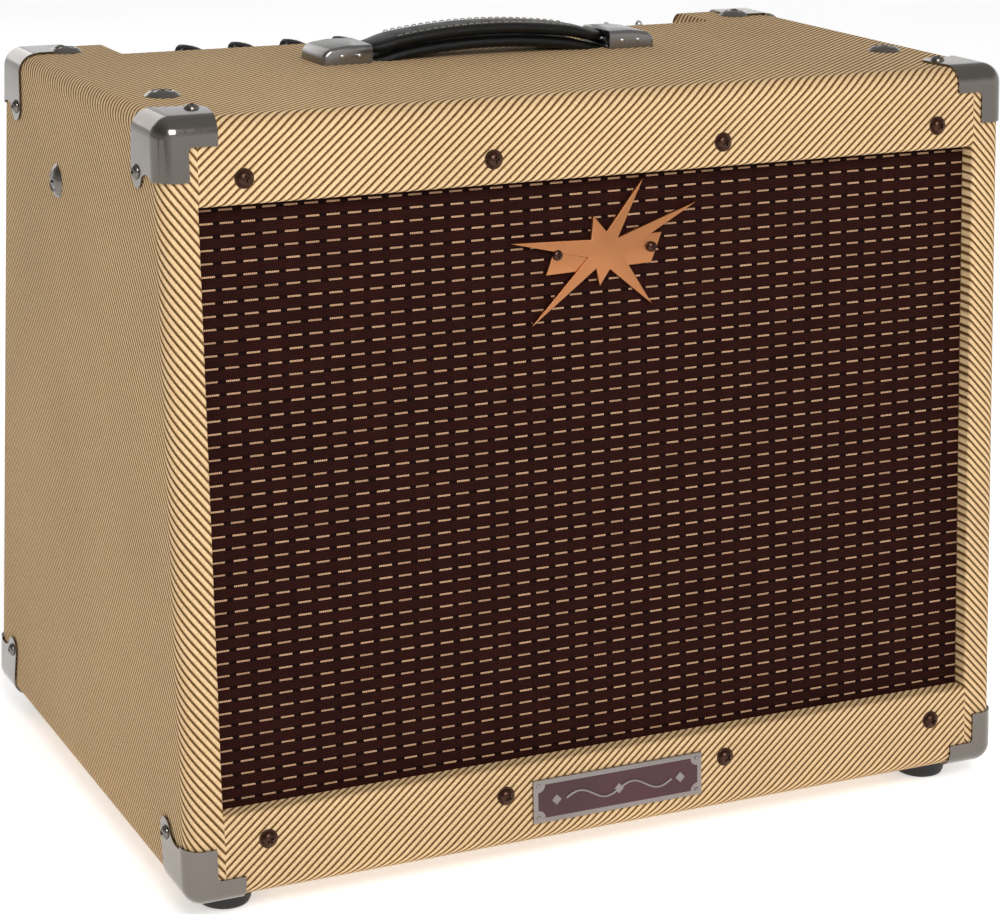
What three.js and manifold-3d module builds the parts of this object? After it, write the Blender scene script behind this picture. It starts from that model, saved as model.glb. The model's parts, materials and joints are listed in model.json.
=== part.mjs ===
// A tube guitar combo amplifier: wooden cabinet with a leaning front and back, one loudspeaker,
// a top-facing control panel at the rear, a hanging tube chassis and a strap handle.
// Millimetres, +Z up, +X to the right of someone facing the grille, the grille faces -Y.
// The origin is on the floor, under the middle of the base.
import * as THREE from "three";
import { mergeVertices } from "three/addons/utils/BufferGeometryUtils.js";
import { ConvexGeometry } from "three/addons/geometries/ConvexGeometry.js";
import Module from "manifold-3d";

const wasm = await Module();
wasm.setup();

// ---------------------------------------------------------------- driving dimensions

const GAP = 0.3; // clearance between pieces that touch

const CAB_WIDTH = 520;
const CAB_HEIGHT = 424;
const BASE_DEPTH = 381;
const FRONT_SETBACK = 30.5; // how far the top of the front lies behind its foot
const REAR_SETBACK = 61; // how far the top of the back lies in front of its foot
const EDGE_RADIUS = 10;
const SIDE_THICKNESS = 21;
const TOP_THICKNESS = 19;
const BOTTOM_THICKNESS = 19;

const OPENING_BOTTOM = 49; // above the cabinet's underside
const OPENING_DROP = 46; // below the cabinet's top
const RAIL_THICKNESS = 10.2;
const CLOTH_THICKNESS = 1.2;
const BAFFLE_THICKNESS = 15;

const CUTOUT_INSET = 59; // rear notch over the controls, in from each side
const CUTOUT_DEPTH = 50;
const CONTROL_RECESS = 20; // control panel below the cabinet's top
const PANEL_SHEET = 1.5;

const BACK_THICKNESS = 12;
const BACK_UPPER_DROP = 76; // below the cabinet's top
const BACK_UPPER_HEIGHT = 104;
const BACK_LOWER_TOP = 140; // above the cabinet's underside
const CLEAT_WIDTH = 15;
const CLEAT_DEPTH = 18;
const GUARD_WIDTH = 300;
const GUARD_HEIGHT = 62;

const CORNER_SHEET = 1.2; // steel of the corner protectors
const CORNER_REACH = 32; // length of their arms
const CORNER_ARM = 14; // width of their arms
const CORNER_LOBE = 8.5; // radius of a screw lobe

const FOOT_HEIGHT = 14;
const FOOT_RADIUS = 16;
const FOOT_INSET_X = 31;
const FOOT_INSET_Y = 33;

const HANDLE_SPAN = 156; // between the inner ends of the two caps
const HANDLE_Y = 6;
const CAP_LENGTH = 31;
const CAP_WIDTH = 36;
const CAP_HEIGHT = 10.5;
const STRAP_WIDTH = 28;
const STRAP_THICKNESS = 9;
const STRAP_RISE = 19.5; // top of the arch above the cabinet
const BAND_WIDTH = 18;
const BAND_THICKNESS = 1.5;

const PLATE_WIDTH = 109;
const PLATE_HEIGHT = 25.5;
const PLATE_CENTRE = 26; // up the front from its foot
const BADGE_WIDTH = 118;
const BADGE_HEIGHT = 79;
const BADGE_DROP = 42; // its centre below the opening's top
const BADGE_THICKNESS = 3;

const CHASSIS_CLEARANCE = 2; // to the cleats on the sides
const CHASSIS_HEIGHT = 47;
const CHASSIS_DEPTH = 118;
const CHASSIS_SHEET = 1.6;
const CHASSIS_REAR_INSET = 5; // rear wall in front of the top's rear edge

const KNOB_COUNT = 8;
const KNOB_PITCH = 34;
const KNOB_ROW_INSET = 50; // first knob in from the cutout's end
const KNOB_RADIUS = 9.5;
const KNOB_HEIGHT = 20;
const KNOB_POINTER = 17; // pointer tip from the shaft's axis
const KNOB_REST_TURN = 25; // degrees past square to the front, at rest

const JACK_BORE = 3.2;
const JACK_NUT = 7;
const JACK_NUT_HEIGHT = 3.5;
const TOGGLE_LENGTH = 12;
const TOGGLE_THROW = 24; // degrees, end to end
const BUTTON_SIZE = 8;
const BUTTON_HEIGHT = 6;
const BUTTON_BEZEL = 2;

const SPEAKER_RADIUS = 154;
const SPEAKER_LIP = 13; // the frame's overlap on the baffle
const SPEAKER_FRAME_DEPTH = 74;
const MAGNET_RADIUS = 75;
const MAGNET_DEPTH = 34;
const COIL_RADIUS = 26;
const CONE_CLEARANCE = 8; // cone edge to the baffle's hole

const TUBE_RADIUS = 11;
const POWER_TUBE_LENGTH = 68;
const PREAMP_TUBE_LENGTH = 50;
const TUBE_PITCH = 34;
const TANK_WIDTH = 430;
const TANK_DEPTH = 110;
const TANK_HEIGHT = 34;
const TANK_FROM_BACK = 65;

// ---------------------------------------------------------------- places worked out from them

const FLOOR_Z = FOOT_HEIGHT; // the cabinet's underside
const TOP_Z = FOOT_HEIGHT + CAB_HEIGHT;
const frontLean = Math.atan2(FRONT_SETBACK, CAB_HEIGHT);
const rearLean = Math.atan2(REAR_SETBACK, CAB_HEIGHT);
const frontY = (z) => -BASE_DEPTH / 2 + (z - FLOOR_Z) * Math.tan(frontLean);
const rearY = (z) => BASE_DEPTH / 2 - (z - FLOOR_Z) * Math.tan(rearLean);
const HALF_OPENING = CAB_WIDTH / 2 - SIDE_THICKNESS;
const INNER_HALF = HALF_OPENING - GAP;
const OPENING_TOP = CAB_HEIGHT - OPENING_DROP;
const INNER_BOTTOM = FLOOR_Z + BOTTOM_THICKNESS + GAP;
const INNER_TOP = TOP_Z - TOP_THICKNESS - GAP;
const CLOTH_DEPTH = RAIL_THICKNESS + GAP; // from the front plane to the cloth's face
const BAFFLE_DEPTH = CLOTH_DEPTH + CLOTH_THICKNESS + GAP;
const BAFFLE_BACK = BAFFLE_DEPTH + BAFFLE_THICKNESS + GAP;
const CUTOUT_HALF = CAB_WIDTH / 2 - CUTOUT_INSET;
const CUTOUT_FRONT_Y = rearY(TOP_Z) - CUTOUT_DEPTH;
const BACK_UPPER_TOP = CAB_HEIGHT - BACK_UPPER_DROP;
const BACK_UPPER_BOTTOM = BACK_UPPER_TOP - BACK_UPPER_HEIGHT;
const CONTROL_TOP = TOP_Z - CONTROL_RECESS;
const CHASSIS_HALF = HALF_OPENING - CLEAT_WIDTH - CHASSIS_CLEARANCE;
const CHASSIS_TOP = CONTROL_TOP - PANEL_SHEET - GAP;
const CHASSIS_BOTTOM = CHASSIS_TOP - CHASSIS_HEIGHT;
const CHASSIS_REAR_Y = rearY(TOP_Z) - CHASSIS_REAR_INSET;
const CHASSIS_FRONT_Y = CHASSIS_REAR_Y - CHASSIS_DEPTH;
const CONTROL_Y = (CUTOUT_FRONT_Y + CHASSIS_REAR_Y) / 2;
const KNOB_FIRST_X = -CUTOUT_HALF + KNOB_ROW_INSET;
const KNOB_LAST_X = KNOB_FIRST_X + (KNOB_COUNT - 1) * KNOB_PITCH;
const SPEAKER_UP = (OPENING_BOTTOM + OPENING_TOP) / 2 / Math.cos(frontLean);
const SPEAKER_HOLE = SPEAKER_RADIUS - SPEAKER_LIP;
const CONE_RADIUS = SPEAKER_HOLE - CONE_CLEARANCE;
const BADGE_CENTRE = OPENING_TOP / Math.cos(frontLean) - BADGE_DROP;

const radians = THREE.MathUtils.degToRad;

// ---------------------------------------------------------------- materials

const finish = (color, roughness, metalness = 0) =>
  new THREE.MeshStandardMaterial({ color, roughness, metalness });
const LOOKS = {
  tweed: () => finish(0xd9b883, 0.85),
  cloth: () => finish(0x35181a, 0.9),
  wood: () => finish(0x9b7a52, 0.8),
  nickel: () => finish(0x8d8880, 0.35, 1),
  chrome: () => finish(0xd5d8dc, 0.12, 1),
  steel: () => finish(0x9aa0a5, 0.4, 1),
  copper: () => finish(0xb9784f, 0.4, 1),
  leather: () => finish(0x16130f, 0.55),
  rubber: () => finish(0x151515, 0.9),
  bakelite: () => finish(0x101012, 0.35),
  plate: () => finish(0xa39b97, 0.45, 0.6),
  glass: () => finish(0xcfd6d8, 0.05),
  jewel: () => finish(0xb01818, 0.15),
  paper: () => finish(0x1d1b1a, 0.95),
  iron: () => finish(0x26262a, 0.5, 0.8),
};

// ---------------------------------------------------------------- solids

// A closed mesh as a solid that can be cut and joined.
function solid(geometry) {
  const bare = geometry.index ? geometry.toNonIndexed() : geometry.clone();
  bare.deleteAttribute("normal");
  bare.deleteAttribute("uv");
  const merged = mergeVertices(bare, 1e-4);
  return new wasm.Manifold(
    new wasm.Mesh({
      numProp: 3,
      vertProperties: new Float32Array(merged.attributes.position.array),
      triVerts: new Uint32Array(merged.index.array),
    }),
  );
}

// A solid as a mesh geometry.
function surface(body) {
  const mesh = body.getMesh();
  const geometry = new THREE.BufferGeometry();
  geometry.setAttribute(
    "position",
    new THREE.BufferAttribute(new Float32Array(mesh.vertProperties), 3),
  );
  geometry.setIndex(new THREE.BufferAttribute(new Uint32Array(mesh.triVerts), 1));
  return geometry;
}

const joined = (first, ...rest) => rest.reduce((a, b) => a.add(b), first);
const carved = (first, ...rest) => rest.reduce((a, b) => a.subtract(b), first);

function box(x0, x1, y0, y1, z0, z1) {
  const geometry = new THREE.BoxGeometry(x1 - x0, y1 - y0, z1 - z0);
  return geometry.translate((x0 + x1) / 2, (y0 + y1) / 2, (z0 + z1) / 2);
}
const boxSolid = (...sides) => solid(box(...sides));

// A cylinder that stands on z0 at (x, y).
function post(radius, x, y, z0, z1, sides = 24, topRadius = radius) {
  const geometry = new THREE.CylinderGeometry(topRadius, radius, z1 - z0, sides);
  geometry.rotateX(Math.PI / 2);
  return geometry.translate(x, y, (z0 + z1) / 2);
}
const postSolid = (...args) => solid(post(...args));

// A cylinder along Y.
function rod(radius, x, z, y0, y1, sides = 24) {
  const geometry = new THREE.CylinderGeometry(radius, radius, y1 - y0, sides);
  return geometry.translate(x, (y0 + y1) / 2, z);
}
const rodSolid = (...args) => solid(rod(...args));

const outline = (points) => new THREE.Shape(points.map(([a, b]) => new THREE.Vector2(a, b)));
const extrude = (shape, depth, curveSegments = 6) =>
  new THREE.ExtrudeGeometry(shape, { depth, bevelEnabled: false, curveSegments });

// A profile given as (y, z) points, running along X from x0 to x1.
function prismX(points, x0, x1) {
  const geometry = extrude(outline(points), x1 - x0);
  const turn = new THREE.Matrix4().makeBasis(
    new THREE.Vector3(0, 1, 0),
    new THREE.Vector3(0, 0, 1),
    new THREE.Vector3(1, 0, 0),
  );
  return solid(geometry.applyMatrix4(turn).translate(x0, 0, 0));
}

// A slab parallel to the leaning front, between two depths behind it.
function frontSlab(x0, x1, z0, z1, depth0, depth1) {
  const points = [
    [frontY(z0) + depth0, z0],
    [frontY(z0) + depth1, z0],
    [frontY(z1) + depth1, z1],
    [frontY(z1) + depth0, z1],
  ];
  return prismX(points, x0, x1);
}

// The same, in from the leaning back.
function rearSlab(x0, x1, z0, z1, depth0, depth1) {
  const points = [
    [rearY(z0) - depth1, z0],
    [rearY(z0) - depth0, z0],
    [rearY(z1) - depth0, z1],
    [rearY(z1) - depth1, z1],
  ];
  return prismX(points, x0, x1);
}

// The cabinet's outside with its rounded edges, grown by an offset.
function envelope(offset) {
  const points = [];
  const steps = 12;
  const reach = EDGE_RADIUS + offset;
  for (const sx of [-1, 1]) {
    for (const z of [FLOOR_Z + EDGE_RADIUS, TOP_Z - EDGE_RADIUS]) {
      const fore = frontY(z) + EDGE_RADIUS / Math.cos(frontLean);
      const aft = rearY(z) - EDGE_RADIUS / Math.cos(rearLean);
      for (const y of [fore, aft]) {
        for (let i = 0; i <= steps / 2; i++) {
          const tilt = (i * 2 * Math.PI) / steps - Math.PI / 2;
          const ring = i === 0 || i === steps / 2 ? 1 : steps;
          for (let j = 0; j < ring; j++) {
            const turn = (j * 2 * Math.PI) / steps;
            points.push(
              new THREE.Vector3(
                sx * (CAB_WIDTH / 2 - EDGE_RADIUS) + reach * Math.cos(tilt) * Math.cos(turn),
                y + reach * Math.cos(tilt) * Math.sin(turn),
                z + reach * Math.sin(tilt),
              ),
            );
          }
        }
      }
    }
  }
  return solid(new ConvexGeometry(points));
}
const cabinetShape = envelope(0);

// ---------------------------------------------------------------- the assembly

const amplifier = new THREE.Group();
const frontPlane = new THREE.Group(); // x right, z up the front, y into the cabinet
frontPlane.position.set(0, -BASE_DEPTH / 2, FLOOR_Z);
frontPlane.rotation.x = -frontLean;
amplifier.add(frontPlane);

function add(name, shape, look, parent = amplifier) {
  const geometry = shape.isBufferGeometry ? shape : surface(shape);
  const mesh = new THREE.Mesh(geometry, LOOKS[look]());
  mesh.name = name;
  parent.add(mesh);
  return mesh;
}

// ---------------------------------------------------------------- cabinet panels

const FAR = BASE_DEPTH; // beyond the cabinet on every side

function addSides() {
  for (const [name, side] of [["side_left", -1], ["side_right", 1]]) {
    const inner = side * HALF_OPENING;
    const outer = side * FAR;
    const slab = boxSolid(Math.min(inner, outer), Math.max(inner, outer), -FAR, FAR, 0, FAR * 2);
    const cleatInner = inner - side * CLEAT_WIDTH;
    const cleat = rearSlab(
      Math.min(inner + side, cleatInner),
      Math.max(inner + side, cleatInner),
      INNER_BOTTOM,
      FLOOR_Z + BACK_UPPER_TOP,
      BACK_THICKNESS + GAP,
      BACK_THICKNESS + CLEAT_DEPTH,
    );
    add(name, joined(slab.intersect(cabinetShape), cleat), "tweed");
  }
}

function addTopAndBottom() {
  const cutout = boxSolid(-CUTOUT_HALF, CUTOUT_HALF, CUTOUT_FRONT_Y, FAR, 0, FAR * 2);
  const top = boxSolid(-INNER_HALF, INNER_HALF, -FAR, FAR, TOP_Z - TOP_THICKNESS, FAR * 2);
  add("top_panel", carved(top.intersect(cabinetShape), cutout), "tweed");
  const bottom = boxSolid(-INNER_HALF, INNER_HALF, -FAR, FAR, 0, FLOOR_Z + BOTTOM_THICKNESS);
  add("bottom_panel", bottom.intersect(cabinetShape), "tweed");
}

function addFront() {
  const z0 = FLOOR_Z + OPENING_BOTTOM;
  const z1 = FLOOR_Z + OPENING_TOP;
  const across = [-INNER_HALF, INNER_HALF];
  add("front_rail_top", frontSlab(...across, z1, INNER_TOP, 0, RAIL_THICKNESS), "tweed");
  add("front_rail_bottom", frontSlab(...across, INNER_BOTTOM, z0, 0, RAIL_THICKNESS), "tweed");
  const cloth = [CLOTH_DEPTH, CLOTH_DEPTH + CLOTH_THICKNESS];
  add("grille_cloth", frontSlab(...across, INNER_BOTTOM, INNER_TOP, ...cloth), "cloth");
  const board = frontSlab(
    ...across,
    INNER_BOTTOM,
    INNER_TOP,
    BAFFLE_DEPTH,
    BAFFLE_DEPTH + BAFFLE_THICKNESS,
  );
  const hole = rod(SPEAKER_HOLE, 0, SPEAKER_UP, 0, BAFFLE_BACK * 2, 48);
  frontPlane.updateMatrixWorld(true);
  hole.applyMatrix4(frontPlane.matrixWorld);
  add("baffle_board", carved(board, solid(hole)), "wood");
}

function addBack() {
  const upper = rearSlab(
    -INNER_HALF,
    INNER_HALF,
    FLOOR_Z + BACK_UPPER_BOTTOM,
    FLOOR_Z + BACK_UPPER_TOP,
    0,
    BACK_THICKNESS,
  );
  const middle = FLOOR_Z + (BACK_UPPER_BOTTOM + BACK_UPPER_TOP) / 2;
  const slotHalf = GUARD_WIDTH / 2 - CLEAT_WIDTH;
  const slotUp = GUARD_HEIGHT / 2 - CLEAT_WIDTH / 2;
  const slot = boxSolid(-slotHalf, slotHalf, 0, FAR, middle - slotUp, middle + slotUp);
  add("back_panel_upper", carved(upper, slot), "tweed");
  const lower = rearSlab(
    -INNER_HALF,
    INNER_HALF,
    INNER_BOTTOM,
    FLOOR_Z + BACK_LOWER_TOP,
    0,
    BACK_THICKNESS,
  );
  add("back_panel_lower", lower, "tweed");
  let guard = rearSlab(
    -GUARD_WIDTH / 2,
    GUARD_WIDTH / 2,
    middle - GUARD_HEIGHT / 2,
    middle + GUARD_HEIGHT / 2,
    BACK_THICKNESS + GAP,
    BACK_THICKNESS + GAP + PANEL_SHEET,
  );
  const columns = 15;
  const pitch = (2 * slotHalf) / columns;
  const ventUp = slotUp / 1.3;
  for (let i = 0; i < columns; i++) {
    const x = -slotHalf + (i + 0.5) * pitch;
    const vent = boxSolid(x - pitch / 3, x + pitch / 3, 0, FAR, middle - ventUp, middle + ventUp);
    guard = carved(guard, vent);
  }
  add("tube_guard", guard, "steel");
}

// ---------------------------------------------------------------- corner protectors

// The outlines of the three faces of a protector. On each, (0, 0) is the cabinet's corner.
const OVER = 3; // how far the outlines run past the edges

function sideOutline() {
  const [v, h] = [CORNER_REACH + 2, CORNER_REACH - 1];
  const shape = new THREE.Shape();
  shape.moveTo(-OVER, -OVER);
  shape.lineTo(-OVER, CORNER_REACH);
  shape.lineTo(CORNER_ARM / 2, CORNER_REACH);
  shape.quadraticCurveTo(v - 16, h - 4, v - CORNER_LOBE, h + 2);
  shape.absarc(v, h, CORNER_LOBE, Math.PI * 0.95, -Math.PI * 0.05, true);
  shape.lineTo(v + 4, -OVER);
  return shape;
}

function topOutline() {
  const [u, v] = [CORNER_REACH - 4, CORNER_REACH - 5];
  const shape = new THREE.Shape();
  shape.moveTo(-OVER, -OVER);
  shape.lineTo(CORNER_REACH, -OVER);
  shape.lineTo(CORNER_REACH + 1, CORNER_ARM / 2);
  shape.lineTo(u + CORNER_LOBE, v);
  shape.absarc(u, v, CORNER_LOBE, 0, Math.PI * 0.55, false);
  shape.lineTo(-OVER, CORNER_REACH + 5);
  return shape;
}

function frontOutline() {
  return outline([
    [-OVER, -OVER],
    [CORNER_REACH, -OVER],
    [CORNER_REACH, CORNER_ARM],
    [CORNER_ARM + 2, CORNER_ARM],
    [CORNER_ARM + 2, CORNER_REACH],
    [-OVER, CORNER_REACH],
  ]);
}

// Moves each vertex by a rule, keeping the faces outward.
function bent(geometry, rule) {
  const position = geometry.attributes.position;
  const point = new THREE.Vector3();
  for (let i = 0; i < position.count; i++) {
    point.fromBufferAttribute(position, i);
    position.setXYZ(i, ...rule(point.x, point.y, point.z));
  }
  const body = solid(geometry);
  if (body.volume() > 0) return body;
  const flipped = (geometry.index ? geometry.toNonIndexed() : geometry).clone();
  const array = flipped.attributes.position.array;
  for (let i = 0; i < array.length; i += 9) {
    for (let k = 0; k < 3; k++) {
      [array[i + 3 + k], array[i + 6 + k]] = [array[i + 6 + k], array[i + 3 + k]];
    }
  }
  return solid(flipped);
}

function addCorners() {
  const shell = carved(envelope(GAP + CORNER_SHEET), envelope(GAP));
  const depth = EDGE_RADIUS + OVER + 1;
  for (const [rise, sz] of [["bottom", -1], ["top", 1]]) {
    for (const [end, sy] of [["front", -1], ["rear", 1]]) {
      for (const [side, sx] of [["left", -1], ["right", 1]]) {
        // u from the side, v from the front or back, h from the top or underside
        const place = (u, v, h) => {
          const z = sz > 0 ? TOP_Z - h : FLOOR_Z + h;
          const y = sy < 0 ? frontY(z) + v : rearY(z) - v;
          return [sx * (CAB_WIDTH / 2 - u), y, z];
        };
        const onSide = bent(extrude(sideOutline(), depth), (a, b, c) => place(c - OVER, a, b));
        const onTop = bent(extrude(topOutline(), depth), (a, b, c) => place(a, b, c - OVER));
        const onFront = bent(extrude(frontOutline(), depth), (a, b, c) => place(a, c - OVER, b));
        const mask = sz > 0 ? joined(onSide, onTop, onFront) : joined(onSide, onFront);
        add(`corner_${rise}_${end}_${side}`, mask.intersect(shell), "nickel");
      }
    }
  }
}

// ---------------------------------------------------------------- feet and handle

function addFeet() {
  for (const [end, sy] of [["front", -1], ["rear", 1]]) {
    for (const [side, sx] of [["left", -1], ["right", 1]]) {
      const profile = [
        [0, 0],
        [FOOT_RADIUS - 4, 0],
        [FOOT_RADIUS - 1.5, 2.5],
        [FOOT_RADIUS, FOOT_HEIGHT - GAP],
        [0, FOOT_HEIGHT - GAP],
      ].map(([r, z]) => new THREE.Vector2(r, z));
      const foot = new THREE.LatheGeometry(profile, 24).rotateX(Math.PI / 2);
      const mesh = add(`foot_${end}_${side}`, foot, "rubber");
      mesh.position.set(
        sx * (CAB_WIDTH / 2 - FOOT_INSET_X),
        sy * (BASE_DEPTH / 2 - FOOT_INSET_Y),
        0,
      );
    }
  }
}

function addHandle() {
  const base = TOP_Z + GAP;
  const bandZ = base + CAP_HEIGHT / 2 - BAND_THICKNESS / 2;
  const half = HANDLE_SPAN / 2;
  const tunnelHalf = BAND_WIDTH / 2 + 1;
  for (const [side, sx] of [["left", -1], ["right", 1]]) {
    const cap = outline([
      [half, 0],
      [half + CAP_LENGTH, 0],
      [half + CAP_LENGTH, CAP_HEIGHT - 5],
      [half + CAP_LENGTH - 4, CAP_HEIGHT - 1.5],
      [half + CAP_LENGTH / 2, CAP_HEIGHT],
      [half, CAP_HEIGHT],
    ]);
    const body = bent(extrude(cap, CAP_WIDTH), (a, b, c) => [
      sx * a,
      HANDLE_Y - CAP_WIDTH / 2 + c,
      base + b,
    ]);
    const tunnel = bent(
      box(
        half - 1,
        half + CAP_LENGTH - 5,
        HANDLE_Y - tunnelHalf,
        HANDLE_Y + tunnelHalf,
        bandZ - 1.5,
        bandZ + 3,
      ),
      (a, b, c) => [sx * a, b, c],
    );
    add(`handle_cap_${side}`, carved(body, tunnel), "chrome");
    const band = bent(
      box(
        half - 4,
        half + CAP_LENGTH - 12,
        HANDLE_Y - BAND_WIDTH / 2,
        HANDLE_Y + BAND_WIDTH / 2,
        bandZ,
        bandZ + BAND_THICKNESS,
      ),
      (a, b, c) => [sx * a, b, c],
    );
    add(`handle_band_${side}`, band, "steel");
  }
  // The strap: an arched bar with round ends in plan, clear of the two bands.
  const reach = half - 9;
  const crown = (t) => TOP_Z + STRAP_RISE - 6.5 * t * t;
  const steps = 12;
  const upper = [];
  const lower = [];
  for (let i = 0; i <= steps; i++) {
    const t = (2 * i) / steps - 1;
    upper.push([t * reach, crown(t)]);
    lower.unshift([t * reach, crown(t) - STRAP_THICKNESS]);
  }
  const strap = bent(extrude(outline([...upper, ...lower]), STRAP_WIDTH), (a, b, c) => [
    a,
    HANDLE_Y - STRAP_WIDTH / 2 + c,
    b,
  ]);
  add("handle_strap", strap, "leather");
}

// ---------------------------------------------------------------- plate and badge on the front

function addPlateAndBadge() {
  const plate = box(
    -PLATE_WIDTH / 2,
    PLATE_WIDTH / 2,
    -2.5,
    -GAP,
    PLATE_CENTRE - PLATE_HEIGHT / 2,
    PLATE_CENTRE + PLATE_HEIGHT / 2,
  );
  add("name_plate", plate, "plate", frontPlane);
  // A plain winged lozenge, standing just proud of the cloth.
  const [w, h] = [BADGE_WIDTH / 2, BADGE_HEIGHT / 2];
  const badge = extrude(
    outline([
      [-w, 0],
      [-w / 3, -h / 3],
      [0, -h],
      [w / 3, -h / 3],
      [w, 0],
      [w / 3, h / 3],
      [0, h],
      [-w / 3, h / 3],
    ]),
    BADGE_THICKNESS,
  );
  badge.rotateX(Math.PI / 2);
  badge.translate(0, CLOTH_DEPTH * Math.cos(frontLean) - GAP, BADGE_CENTRE);
  add("front_badge", badge, "copper", frontPlane);
}

// ---------------------------------------------------------------- chassis and control panel

const REAR_JACK_X = [-190, -160, -120, -90, -50];
const jackUp = (CHASSIS_TOP + CHASSIS_BOTTOM) / 2;
const INLET = { x: 175, width: 28, height: 24, depth: 20, lip: 3 };
const FUSE = { x: 130, radius: 6.5, length: 12 };
const POWER_TUBE_FIRST_X = -4;
const PREAMP_TUBE_FIRST_X = -CHASSIS_HALF + 36;
const POWER_TUBE_X = [0, 1, 2, 3].map((i) => POWER_TUBE_FIRST_X + i * TUBE_PITCH);
const PREAMP_TUBE_X = [0, 1, 2].map((i) => PREAMP_TUBE_FIRST_X + i * TUBE_PITCH);
const POWER_TRANSFORMER = { x: CHASSIS_HALF - 60, back: 50, size: [84, 76, 68] };
const OUTPUT_TRANSFORMER = { x: POWER_TUBE_FIRST_X - 58, back: 40, size: [60, 50, 50] };
const TUBE_Y = CHASSIS_REAR_Y - 38;
const SOCKET_HEIGHT = 6;

function addChassis() {
  const [y0, y1, z0, z1] = [CHASSIS_FRONT_Y, CHASSIS_REAR_Y, CHASSIS_BOTTOM, CHASSIS_TOP];
  const s = CHASSIS_SHEET;
  const w = CHASSIS_HALF;
  let tray = carved(
    boxSolid(-w, w, y0, y1, z0, z1),
    boxSolid(-w + s, w - s, y0 + s, y1 - s, z0 + s, z1 + 1),
  );
  // Z-bent ears reach up to the underside of the top panel.
  const earTop = TOP_Z - TOP_THICKNESS - GAP;
  for (const side of [-1, 1]) {
    const riser = [side * w, side * (w - s)].sort((a, b) => a - b);
    const ear = [side * (w - s), side * (INNER_HALF - 1)].sort((a, b) => a - b);
    tray = joined(
      tray,
      boxSolid(...riser, y0, CUTOUT_FRONT_Y, z1 - 1, earTop),
      boxSolid(...ear, y0, CUTOUT_FRONT_Y, earTop - s, earTop),
    );
  }
  for (const x of REAR_JACK_X) {
    tray = tray.add(rodSolid(JACK_NUT, x, jackUp, y1 - s / 2, y1 + JACK_NUT_HEIGHT, 6));
    tray = tray.subtract(rodSolid(JACK_BORE, x, jackUp, y1 - 2 * s, y1 + 10, 16));
  }
  tray = tray.add(rodSolid(FUSE.radius, FUSE.x, jackUp, y1 - s / 2, y1 + FUSE.length / 2, 20));
  const { x, width, height } = INLET;
  tray = tray.subtract(
    boxSolid(x - width / 2, x + width / 2, y1 - 5, y1 + 5, jackUp - height / 2, jackUp + height / 2),
  );
  for (const tx of [...POWER_TUBE_X, ...PREAMP_TUBE_X]) {
    tray = tray.add(postSolid(TUBE_RADIUS + 2, tx, TUBE_Y, z0 - SOCKET_HEIGHT, z0 + s / 2, 16));
  }
  add("chassis", tray, "chrome");
}

function addMainsInlet() {
  const { x, width, height, depth, lip } = INLET;
  const y = CHASSIS_REAR_Y;
  // A block on the inlet's axis, grown or shrunk all round.
  const block = (grow, y0, y1) => {
    const [w, h] = [width / 2 + grow, height / 2 + grow];
    return boxSolid(x - w, x + w, y0, y1, jackUp - h, jackUp + h);
  };
  const body = block(-GAP, y - depth, y + GAP + 1);
  const flange = block(lip, y + GAP, y + GAP + 2);
  const recess = block(-lip, y - depth + lip, y + 5);
  let inlet = carved(joined(body, flange), recess);
  for (const [px, pz] of [[-6, -2], [0, 3], [6, -2]]) {
    const [bladeX, bladeZ] = [x + px, jackUp + pz];
    inlet = inlet.add(boxSolid(bladeX - 1, bladeX + 1, y - depth + 2, y - 4, bladeZ - 3, bladeZ + 3));
  }
  add("mains_inlet", inlet, "bakelite");
}

const BUTTON_X = KNOB_LAST_X + 25;
const TOGGLE_X = [KNOB_LAST_X + 50, KNOB_LAST_X + 74];
const LAMP_X = KNOB_LAST_X + 98;
const INPUT_X = -CUTOUT_HALF + 14;
const STACK = 11; // inputs and buttons sit this far either side of the knob row
const BUSHING = { radius: 5.5, height: 7, bore: 3.6 };
const toggleUp = CONTROL_TOP + BUSHING.height - 2;

function addControlPanel() {
  const top = CONTROL_TOP;
  const reach = CHASSIS_HALF - CHASSIS_SHEET - GAP; // between the chassis's risers
  let plate = boxSolid(-reach, reach, CHASSIS_FRONT_Y, CHASSIS_REAR_Y, top - PANEL_SHEET, top);
  for (const dy of [-STACK, STACK]) {
    plate = plate.add(postSolid(JACK_NUT, INPUT_X, CONTROL_Y + dy, top - 1, top + JACK_NUT_HEIGHT, 6));
    plate = plate.subtract(postSolid(JACK_BORE, INPUT_X, CONTROL_Y + dy, top - 5, top + 10, 16));
    const outer = BUTTON_SIZE / 2 + 2.5;
    const inner = BUTTON_SIZE / 2 + GAP;
    const y = CONTROL_Y + dy;
    plate = plate.add(
      boxSolid(BUTTON_X - outer, BUTTON_X + outer, y - outer, y + outer, top - 1, top + BUTTON_BEZEL),
    );
    plate = plate.subtract(
      boxSolid(BUTTON_X - inner, BUTTON_X + inner, y - inner, y + inner, top - 5, top + 10),
    );
  }
  for (const x of TOGGLE_X) {
    plate = plate.add(postSolid(BUSHING.radius, x, CONTROL_Y, top - 1, top + BUSHING.height, 20));
    plate = plate.subtract(postSolid(BUSHING.bore, x, CONTROL_Y, top + 1, top + 20, 20));
  }
  add("control_panel", plate, "chrome");
}

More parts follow.
